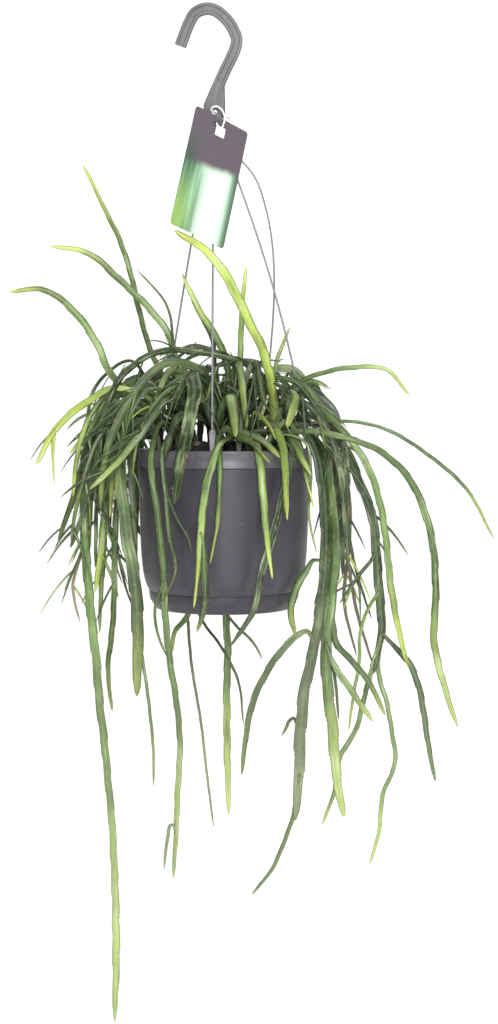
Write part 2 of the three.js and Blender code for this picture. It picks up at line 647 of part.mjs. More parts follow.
// The arch's line: shares of the way out, of the height of its top, of its tip's, and of its bend.
const ARCH = [
  [0.3, 0.93, 0, 0.3],
  [0.62, 0.9, 0, 0.6],
  [0.9, 0.5, 0.2, 0.9],
  [1, 0.08, 0.55, 1],
];

const depthOf = (t) => t * t * (3 - 2 * t);

// From how a place looks to where it is, at its depth.
const placed = (x, z, y) => {
  const grow = 1 + y / VIEW_DISTANCE;
  return new THREE.Vector3(VIEW_X + (x - VIEW_X) * grow, y, VIEW_Z + (z - VIEW_Z) * grow);
};

const nearestSite = (x, y) => {
  const open = sites.filter((site) => site.stems.length < SITE_HOLDS);
  const cost = (site) => Math.hypot(site.x - x, site.y - y) + CROWDED * site.stems.length;
  return open.reduce((best, site) => (cost(site) < cost(best) ? site : best));
};

const FINE = 12; // steps of the smooth line between two written points
const FEWEST = 6; // stations of a stem
const MOST = 19;

// A smooth line through points, given by a number of places along it that are closer at its root.
const stations = (points, spacing) => {
  const curve = new THREE.CatmullRomCurve3(points, false, "centripetal");
  const fine = curve.getPoints(FINE * (points.length - 1));
  const far = [0];
  for (let i = 1; i < fine.length; i += 1) far.push(far[i - 1] + fine[i].distanceTo(fine[i - 1]));
  const length = far.at(-1);
  const count = Math.min(MOST, Math.max(FEWEST, Math.round(length / spacing) + 3));
  const places = [];
  let i = 0;
  for (let k = 0; k < count; k += 1) {
    const s = length * (k / (count - 1)) ** STATION_CROWD;
    while (i < fine.length - 2 && far[i + 1] < s) i += 1;
    const t = (s - far[i]) / (far[i + 1] - far[i]);
    places.push(fine[i].clone().lerp(fine[i + 1], t));
  }
  return places;
};

const rooted = (site, next) => {
  const lean = Math.atan2(next.y - site.y, next.x - site.x);
  const way = new THREE.Vector3(Math.cos(lean), Math.sin(lean), 0);
  const base = new THREE.Vector3(site.x, site.y, site.top - 2).addScaledVector(way, ROOT_OFF);
  const up = base.clone().addScaledVector(way, ROOT_LEAN).setZ(site.top + ROOT_UP);
  return [base, up];
};

const draw = drawer(SEED);
const stems = [];
const stemNamed = new Map();

const addStem = (name, w, points, site, parent) => {
  const spots = stations(points, w < THIN ? THIN_STATION : STATION);
  const roll = (2 * draw() - 1) * MAX_ROLL;
  const stem = { name, spots, roll, half: w / 2 / Math.cos(roll), site, parent };
  stem.length = 0;
  stem.along = spots.map((spot, k) => {
    if (k > 0) stem.length += spot.distanceTo(spots[k - 1]);
    return stem.length;
  });
  site.stems.push(stem);
  stems.push(stem);
  stemNamed.set(name, stem);
};

const plantDrawn = (name, w, back, hang, seen) => {
  let far = 0;
  const points = seen.map(([x, z], k) => {
    if (k > 0) far += Math.hypot(x - seen[k - 1][0], z - seen[k - 1][1]);
    return placed(x, z, back + (hang - back) * depthOf(Math.min(1, far / REACH)));
  });
  const site = nearestSite(points[0].x, points[0].y);
  addStem(name, w, [...rooted(site, points[1]), ...points.slice(1)], site);
};

const PARTING = 3; // written points until a branch is at its own depth

const plantBranch = (name, w, parent, side, seen) => {
  const spots = parent.spots;
  const near = (spot) => Math.hypot(spot.x - seen[0][0], spot.z - seen[0][1]);
  const inner = spots.slice(1, -1);
  const joint = inner.reduce((best, spot) => (near(spot) < near(best) ? spot : best));
  const last = seen.length - 1;
  const points = seen.slice(1).map(([x, z], k) =>
    placed(x, z, joint.y + side * depthOf(Math.min(1, (k + 1) / Math.min(PARTING, last)))),
  );
  const at = spots.indexOf(joint);
  addStem(name, w, [joint.clone(), ...points], parent.site, { stem: parent, at });
};

const plantFill = ({ count, turn, root, up, out, down, w }, index) => {
  const seed = FILL_SEED + FILL_SEED_STEP * index;
  const pick = drawer(seed);
  const within = ([low, high]) => low + (high - low) * pick();
  for (let k = 0; k < count; k += 1) {
    const share = (k + 0.2 + 0.6 * pick()) / count;
    const heading = radians(turn[0] + (turn[1] - turn[0]) * share);
    const c = Math.cos(heading);
    const s = Math.sin(heading);
    const start = within(root);
    const top = within(up);
    const reach = within(out);
    const low = within(down);
    const site = nearestSite(start * c, start * s);
    const bend = (2 * pick() - 1) * FILL_BEND;
    const at = (r, across, z) => new THREE.Vector3(r * c - across * s, r * s + across * c, z);
    const line = ARCH.map(([far, high, hung, bent]) =>
      at(start + (reach - start) * far, bend * bent, top * high + low * hung),
    );
    line.push(at(reach + 2, bend, low));
    addStem(`fill_${seed}_${k}`, within(w), [...rooted(site, line[0]), ...line], site);
  }
};

for (const row of STEMS.trim().split(/\n(?! )/)) {
  const [head, line] = row.split(": ");
  const [name, w, from, aside] = head.split(" ");
  const seen = line.split(/\s+/).map((pair) => pair.split(",").map(Number));
  const parent = stemNamed.get(from);
  if (parent) plantBranch(name, Number(w), parent, Number(aside), seen);
  else plantDrawn(name, Number(w), Number(from), Number(aside), seen);
}
FILLS.forEach(plantFill);

// How wide and thick a stem is at its stations: round at the base, flat beyond, narrow at the tip.
const halfWidth = (stem, s) => {
  const open = depthOf(Math.min(1, s / Math.min(BASE_LENGTH, BASE_MOST * stem.length)));
  const left = (stem.length - s) / Math.min(TIP_LENGTH, TIP_MOST * stem.length);
  const close = TIP_SHARE + (1 - TIP_SHARE) * Math.sqrt(Math.min(1, left));
  return Math.min(BASE_HALF, stem.half) * (1 - open) + stem.half * open * close;
};

const halfThick = (s) => {
  const open = depthOf(Math.min(1, s / BASE_LENGTH));
  return HALF_THICK + (BASE_HALF - HALF_THICK) * (1 - open) * BASE_FULL;
};

// The blade's own directions at each station, carried from its hanging end back to its root.
const frame = (stem) => {
  const { spots, roll } = stem;
  const last = spots.length - 1;
  stem.run = spots.map((spot, k) =>
    spots[Math.min(last, k + 1)].clone().sub(spots[Math.max(0, k - 1)]).normalize(),
  );
  const start = Math.round(last * FREE_HANGING);
  const depth = new THREE.Vector3(0, 1, 0);
  const face = stem.run[start].clone().cross(depth);
  if (face.length() < 0.2) face.set(1, 0, 0);
  face.normalize();
  const side = face.multiplyScalar(Math.cos(roll)).addScaledVector(depth, Math.sin(roll));
  const flat = (vector, run) => vector.clone().addScaledVector(run, -vector.dot(run)).normalize();
  stem.side = [];
  stem.side[start] = flat(side, stem.run[start]);
  for (let k = start + 1; k <= last; k += 1) stem.side[k] = flat(stem.side[k - 1], stem.run[k]);
  for (let k = start - 1; k >= 0; k -= 1) stem.side[k] = flat(stem.side[k + 1], stem.run[k]);
  stem.out = stem.side.map((s, k) => stem.run[k].clone().cross(s));
};

// What stems bend round: the pot, the strands and the tag.
const potReach = (z) => {
  if (z > -COLLAR_H) return RIM_R;
  if (z > KNEE_Z) return BODY_R + ((z + COLLAR_H) / (KNEE_Z + COLLAR_H)) * (KNEE_R - BODY_R);
  return Math.max(SAUCER_R, KNEE_R + ((z - KNEE_Z) / (SAUCER_TOP - KNEE_Z)) * (SAUCER_R - KNEE_R));
};

const offPot = (spot, room, push) => {
  const r = Math.hypot(spot.x, spot.y);
  const deepIn = potReach(spot.z) + room - r;
  const floor = r < NECK_R - WALL ? soilTop(r) : 0;
  const deepDown = floor + room - spot.z;
  if (deepIn <= 0 || deepDown <= 0 || spot.z < SAUCER_BASE - room) return false;
  if (r > NECK_R && deepIn < deepDown) push.set(spot.x / r, spot.y / r, 0).multiplyScalar(deepIn);
  else push.set(0, 0, deepDown);
  return true;
};

const offTag = (spot, room, push) => {
  const from = spot.clone().sub(TAG_CORNER);
  const u = from.dot(TAG_ACROSS);
  const v = from.dot(TAG_DOWN);
  const n = from.dot(TAG_OUT);
  const beside = u < -room || u > TAG_W + room || v < -room || v > TAG_H + room;
  if (beside || Math.abs(n) > room) return false;
  push.copy(TAG_OUT).multiplyScalar(n > 0 ? room - n : -room - n);
  return true;
};

const strandStems = STRANDS.map((strand) => {
  const spots = strandPoints(strand);
  spots.push(spots.at(-1).clone().setZ(1));
  return { name: strand.name, spots, fixed: true, roll: 0 };
});

const END_ON = 4; // extra room for a stretch that points at the other one

// Half extent of a stem's section towards a direction.
const support = (side, out, run, a, b, towards) =>
  Math.max(Math.abs(side.dot(towards)) * a, Math.abs(out.dot(towards)) * b) +
  END_ON * Math.abs(run.dot(towards));

const pieces = (stem) => {
  const list = [];
  for (let k = 0; k < stem.spots.length - 1; k += 1) list.push({ stem, k });
  return list;
};

const closePairs = (all) => {
  const boxes = all.map(({ stem, k }) => {
    const box = new THREE.Box3().setFromPoints([stem.spots[k], stem.spots[k + 1]]);
    return box.expandByScalar(NEAR);
  });
  const pairs = [];
  for (let i = 0; i < all.length; i += 1) {
    for (let j = i + 1; j < all.length; j += 1) {
      const a = all[i];
      const b = all[j];
      if (a.stem === b.stem || (a.stem.fixed && b.stem.fixed)) continue;
      if (!boxes[i].intersectsBox(boxes[j])) continue;
      const kin = a.stem.site && a.stem.site === b.stem.site;
      if (kin && (a.k < 2 || b.k < 2)) continue;
      pairs.push([a, b]);
    }
  }
  return pairs;
};

const clamp = (value) => Math.min(1, Math.max(0, value));

const nearestOn = (p0, p1, q0, q1) => {
  const d1 = p1.clone().sub(p0);
  const d2 = q1.clone().sub(q0);
  const r = p0.clone().sub(q0);
  const a = d1.dot(d1);
  const e = d2.dot(d2);
  const b = d1.dot(d2);
  const c = d1.dot(r);
  const f = d2.dot(r);
  const below = a * e - b * b;
  let s = below > TINY * a * e ? clamp((b * f - c * e) / below) : 0.5;
  const t = clamp((b * s + f) / e);
  s = clamp((b * t - c) / a);
  return [s, t];
};

const contact = ({ stem: A, k: i }, { stem: B, k: j }) => {
  const [s, t] = nearestOn(A.spots[i], A.spots[i + 1], B.spots[j], B.spots[j + 1]);
  const p = A.spots[i].clone().lerp(A.spots[i + 1], s);
  const gap = B.spots[j].clone().lerp(B.spots[j + 1], t).sub(p);
  const size = (stem, k, u) => [
    stem.a[k] * (1 - u) + stem.a[k + 1] * u,
    stem.b[k] * (1 - u) + stem.b[k + 1] * u,
  ];
  const [aA, bA] = size(A, i, s);
  const [aB, bB] = size(B, j, t);
  if (gap.length() > Math.max(aA, bA) + Math.max(aB, bB) + CLEAR) return null;
  const runA = A.spots[i + 1].clone().sub(A.spots[i]).normalize();
  const runB = B.spots[j + 1].clone().sub(B.spots[j]).normalize();
  const straight = gap.clone();
  if (straight.length() < 1e-3) straight.copy(runA).cross(runB);
  const choices = [straight, A.out[i].clone(), B.out[j].clone()];
  let best = null;
  for (const towards of choices) {
    if (towards.length() < TINY) continue;
    towards.normalize();
    if (towards.dot(gap) < 0) towards.negate();
    const need =
      support(A.side[i], A.out[i], runA, aA, bA, towards) +
      support(B.side[j], B.out[j], runB, aB, bB, towards) +
      CLEAR;
    const short = need - towards.dot(gap);
    if (short <= 0) return null;
    if (!best || short < best.short) best = { towards, short, s, t };
  }
  return best;
};

const shift = (stem, k, share, towards, amount) => {
  if (stem.fixed) return;
  stem.move[k].addScaledVector(towards, amount * share);
  stem.hits[k] += share;
};

// Pushes each part of a stem off the pot, the soil and the tag.
const pushOff = (stem) => {
  const push = new THREE.Vector3();
  for (let k = 0; k < stem.spots.length - 1; k += 1) {
    for (const share of [0, 0.25, 0.5, 0.75]) {
      const far = stem.along[k] * (1 - share) + stem.along[k + 1] * share;
      if (far < STUB_DEEP) continue;
      const spot = stem.spots[k].clone().lerp(stem.spots[k + 1], share);
      const tagRoom = Math.max(TAG_ROOM, stem.a[k] * TAG_ROOM_SHARE);
      for (const [off, room] of [[offPot, ROOM], [offTag, tagRoom]]) {
        if (!off(spot, room, push)) continue;
        shift(stem, k, 1 - share, push, 1);
        shift(stem, k + 1, share, push, 1);
      }
    }
  }
};

// Moves a stem's stations by what they were pushed, each push eased into its neighbours.
const give = (stem) => {
  const moves = stem.move.map((move, k) => move.divideScalar(Math.max(1, stem.hits[k])));
  const last = moves.length - 1;
  const eased = moves.map((move, k) =>
    move
      .clone()
      .multiplyScalar(KEPT)
      .addScaledVector(moves[Math.max(0, k - 1)], PASSED)
      .addScaledVector(moves[Math.min(last, k + 1)], PASSED),
  );
  eased.forEach((move, k) => stem.spots[k].addScaledVector(move, stem.free[k]));
  if (stem.parent) stem.spots[0].copy(stem.parent.stem.spots[stem.parent.at]);
};

const settle = () => {
  const everything = [...stems, ...strandStems];
  for (const strand of strandStems) {
    strand.a = strand.spots.map(() => BEAD_R);
    strand.b = strand.a;
    frame(strand);
  }
  for (const stem of stems) {
    stem.a = stem.along.map((s) => halfWidth(stem, s));
    stem.b = stem.along.map(halfThick);
    const stiff = stem.parent ? STIFF_BRANCH : STIFF;
    stem.free = stem.along.map((s) => Math.min(1, (s / stiff) ** 2));
  }
  let pairs = [];
  for (let round = 0; round < ROUNDS; round += 1) {
    for (const stem of stems) {
      frame(stem);
      stem.move = stem.spots.map(() => new THREE.Vector3());
      stem.hits = stem.spots.map(() => 0);
    }
    if (round % SORT_EVERY === 0) pairs = closePairs(everything.flatMap(pieces));
    for (const [a, b] of pairs) {
      const hit = contact(a, b);
      if (!hit) continue;
      const half = a.stem.fixed || b.stem.fixed ? 1 : 0.5;
      shift(a.stem, a.k, 1 - hit.s, hit.towards, -hit.short * half);
      shift(a.stem, a.k + 1, hit.s, hit.towards, -hit.short * half);
      shift(b.stem, b.k, 1 - hit.t, hit.towards, hit.short * half);
      shift(b.stem, b.k + 1, hit.t, hit.towards, hit.short * half);
    }
    for (const stem of stems) {
      pushOff(stem);
      give(stem);
    }
  }
};

// A stem's body: a flat diamond at each station, its edges cut in by turns.
const blade = (stem) => {
  frame(stem);
  const rings = stem.spots.map((spot, k) => {
    const last = k === stem.spots.length - 1;
    const a = stem.a[k];
    const b = stem.b[k] * (last ? TIP_THICK : 1);
    const notched = k > 1 && !last && stem.half > NOTCHED;
    const left = a * (notched && k % 2 === 0 ? 1 - NOTCH : 1);
    const right = a * (notched && k % 2 === 1 ? 1 - NOTCH : 1);
    return [
      spot.clone().addScaledVector(stem.side[k], -left),
      spot.clone().addScaledVector(stem.out[k], b),
      spot.clone().addScaledVector(stem.side[k], right),
      spot.clone().addScaledVector(stem.out[k], -b),
    ];
  });
  const faces = [];
  for (let k = 0; k < rings.length - 1; k += 1) {
    const near = 4 * k;
    const far = near + 4;
    for (const [edge, ridge, flip] of [[0, 1, 1], [2, 1, 0], [2, 3, 1], [0, 3, 0]]) {
      const [a, b, c, d] = [near + edge, near + ridge, far + ridge, far + edge];
      if (flip) faces.push(a, c, b, a, d, c);
      else faces.push(a, b, c, a, c, d);
    }
  }
  const end = 4 * (rings.length - 1);
  faces.push(0, 1, 2, 0, 2, 3);
  faces.push(end, end + 2, end + 1, end, end + 3, end + 2);
  const geometry = new THREE.BufferGeometry().setFromPoints(rings.flat());
  geometry.setIndex(faces);
  return geometry;
};

const makeClump = (site) => {
  const base = site.top - STUB_DEEP;
  const stub = rod(STUB_R, base, site.top + STUB_UP, STUB_SIDES, site.x, site.y);
  return joined([stub, ...site.stems.map(blade)].map(solidOf));
};

settle();

const dark = material(0x3a3d40, 0.42);
const grey = material(0x6d7174, 0.5);
addTo(part, "hook", makeHook(), grey);
for (const strand of STRANDS) {
  addTo(potGroup, strand.name, makeStrand(strand), material(0x8a8d8f, 0.45));
}
addTo(potGroup, "plant_tag", makeTag(), material(0x55585a, 0.5));
addTo(potGroup, "tag_tie", makeTie(), material(0xf2f2ee, 0.5));
addTo(potGroup, "pot", makePot(), dark);
addTo(potGroup, "saucer", makeSaucer(), material(0x2b2d2f, 0.4));
addTo(potGroup, "soil", makeSoil(), material(0x2e241c, 0.95));
for (const site of usedSites()) {
  addTo(potGroup, site.name, wrap(makeClump(site)), material(0x5d7f35, 0.5));
}

export default part;
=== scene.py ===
"""Potted lepismium bolivianum: the looks of a hanging pot with a forest cactus of flat trailing stems."""
import json
import math

import bmesh
import bpy
import numpy as np
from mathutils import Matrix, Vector, noise

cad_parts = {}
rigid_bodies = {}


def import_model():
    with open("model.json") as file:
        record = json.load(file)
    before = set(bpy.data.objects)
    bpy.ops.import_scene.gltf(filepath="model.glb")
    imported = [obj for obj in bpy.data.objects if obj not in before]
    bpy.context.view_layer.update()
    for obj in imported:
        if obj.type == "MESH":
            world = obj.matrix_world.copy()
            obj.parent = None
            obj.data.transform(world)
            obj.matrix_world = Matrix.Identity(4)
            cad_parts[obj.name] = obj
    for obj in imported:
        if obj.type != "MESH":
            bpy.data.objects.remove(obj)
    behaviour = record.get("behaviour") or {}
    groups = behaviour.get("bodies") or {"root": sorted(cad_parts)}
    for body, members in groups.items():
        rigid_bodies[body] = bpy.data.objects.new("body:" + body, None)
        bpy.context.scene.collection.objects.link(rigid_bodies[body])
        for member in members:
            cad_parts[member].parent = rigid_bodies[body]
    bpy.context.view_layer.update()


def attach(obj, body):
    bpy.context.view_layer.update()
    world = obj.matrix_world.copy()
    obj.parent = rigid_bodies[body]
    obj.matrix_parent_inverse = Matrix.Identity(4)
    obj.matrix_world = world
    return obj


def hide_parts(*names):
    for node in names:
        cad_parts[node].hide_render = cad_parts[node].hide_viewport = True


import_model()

MM = 0.001
POT_AT = np.array([12.0, 0.0, -377.0])  # the pot's axis and the rim's top, mm from the hook's crown
GAP = 0.3  # between pieces that touch

# Pot and saucer
RIM_R = 75.0
COLLAR_H = 14.7
BODY_R = 73.8  # just under the collar
BODY_LINE = ((72.8, -94), (71.4, -113), (64.2, -122.2))  # what pulls the wall out to a full, round side
NECK_R = 70.0  # the wall inside the collar, outer face
KNEE_R = 71.2  # where the wall starts to curve in to the foot
KNEE_Z = -97.0
WALL = 1.8
FOOT_R = 54.0
FOOT_Z = -134.9
SAUCER_R = 65.0
SAUCER_TOP = -122.5
SAUCER_BASE = -137.0
DRAINS = 4
DRAIN_R = 4
DRAIN_RING = 30
ROUND = 128  # faces round the pot

# Soil
SOIL_EDGE_Z = -8.0
SOIL_DOME = 14.0
STUB_R = 4.2
STUB_DEEP = 12

# Hook
HEAD_X = 3.8
HEAD_HALF = 9.5
HEAD_EYE_Z = -85.0
HEAD_EYE_R = 2.3
CAP_BASE = -105.0
SOCKET_RING = 5.4
SOCKET_R = 1.6
HOOK_LINE = """
-25.7,-27.4 -22.1,-17.4 -18.1,-7.5 -13.4,0.4 -6.8,4.1 -0.2,4.65 6.4,2.2 14.4,-4.9 20.4,-14.1
23.1,-22.1 21.7,-30.1 18.4,-38 13.1,-48.6 8.4,-59.2 5.1,-67.2 3.8,-75.9 3.8,-82
"""

# Strands: the clip's heading, how far and which way it bows, and how far down it bows most
STRAND_R = 0.85
PLUG_R = 1.05
PEG_RING = 71.8
PEG_THICK = 1.6
PEG_W = 5
PEG_DEEP = 9
BEAD_R = 2.3
BEAD_Z = 16.0
STRANDS = {
    "strand_front": (-97, 1, -97, 0.5),
    "strand_right": (-4, 7, -4, 0.5),
    "strand_back": (62, 36, 18, 0.32),
    "strand_left": (142, 1, 142, 0.5),
}

# Tag and tie
TAG_W = 55.7
TAG_H = 113.7
TAG_THICK = 0.5
TAG_ROUND = 3
TAG_HOLE = (23, 6.8)
TAG_HOLE_R = 2.4
TAG_CORNER = np.array([-23.4, -21.0, 294.4])
TIE_R = 0.8
LOCK = 9.5
LOCK_THICK = 1.4
# Steps of the tie's loop from the eye of the hook's foot: over in front of it, then through and round.
TIE_AT_EYE = """
9,-9.4,-6 6.4,-9.6,0.5 2.2,-9,3.6 -1.8,-7.6,2.8 -2.6,-5,0.6
-0.2,-2.8,0 0,2.8,0 4,6.2,-1 11,5.4,-3.4 13.6,0,-5.6 12.6,-2.9,-7.4
"""

# Stems
BASE_HALF = 1.6
BASE_LENGTH = 34.0
HALF_THICK = 1.05
STATION = 37.0  # from one of a stem's points to the next
THIN = 3.5
REACH = 120.0  # how far a stem runs until it hangs at its depth
LINE_STEPS = 8  # of the curve between two of a stem's points
NOTCH_DEEP = 0.22
FULLER = 1.09
OLD_STEMS = "right_6 right_6e front_11 right_12a right_12c front_9b left_4 front_10b".split()
RINGS_AT = (0.1, 0.25, 0.4, 0.46, 0.5, 0.6, 0.75, 0.9, 0.96, 1.0)  # along a stretch from notch to notch
LENS = ((1.0, 0.0), (0.86, 0.42), (0.42, 0.66), (0.15, 0.8), (0.0, 1.0))  # a quarter of its section
CROWN_STEPS = ((5, 1), (4, 0.98), (3, 1.02), (1.6, 0.92), (0.9, 0.72), (0.3, 0.5))  # lift and growth

# Side shoots
SHOOTY = ("fill_", "crown_", "left_", "right_11", "right_12", "right_16", "right_7")
SHOOT_SHARE = 0.34
SHOOTS_FROM = -125
CROWN_FROM = 10
SHOOTS_TO = 84

# How stems settle
CLEAR = 0.75  # between two stems
POT_ROOM = 3.4
TAG_ROOM = 2.4
HELD = 12  # mm of each stem next to its root that nothing pushes
NEARBY = 7  # how far round a stretch others are looked for
BLUNT = 4  # how far a stretch of stem reaches past its ends
ROUNDS = 90
RENEW = 10  # rounds from one search for close stretches to the next

# Camera, in mm from the pot's axis and rim
VIEW_DISTANCE = 1476.0
VIEW_X = 21.7
VIEW_Z = 44.0

# Studio, in metres; where each light stands, its width and height, and its watts
FLOOR_Z = -0.97
FLOOR_SIZE = (9, 7, 1)
BEND_R = 1.5
BEND_STEPS = 8
BACK_WALL_H = 4
LIGHT_AIM = Vector((0, 0, -0.42))
LIGHTS = {
    "key_light": ((0.3, -2.2, 0.6), (0.6, 1.2), 44),
    "left_light": ((-0.8, -2.1, 0.6), (0.8, 0.6), 7),
    "right_light": ((1.7, -1.3, 0.0), (1.0, 1.6), 3),
    "strip_light": ((0.14, -2.2, -0.4), (0.14, 1.6), 10),
    "top_light": ((0, 0.2, 1.3), (1.4, 1.4), 15),
    "back_light": ((0.3, 1.7, 1.2), (0.8, 0.8), 7),
}

# The rings of stubs that the stems are rooted in: radius, how many and the turn of the first.
RINGS = {"centre": (10, 3, 0.5), "inner": (27, 7, 0.1), "middle": (44, 10, 0.3), "outer": (59, 14, 0)}
SITE_HOLDS = 4
CROWDED = 5  # mm that a stem goes further for a stub with one stem less

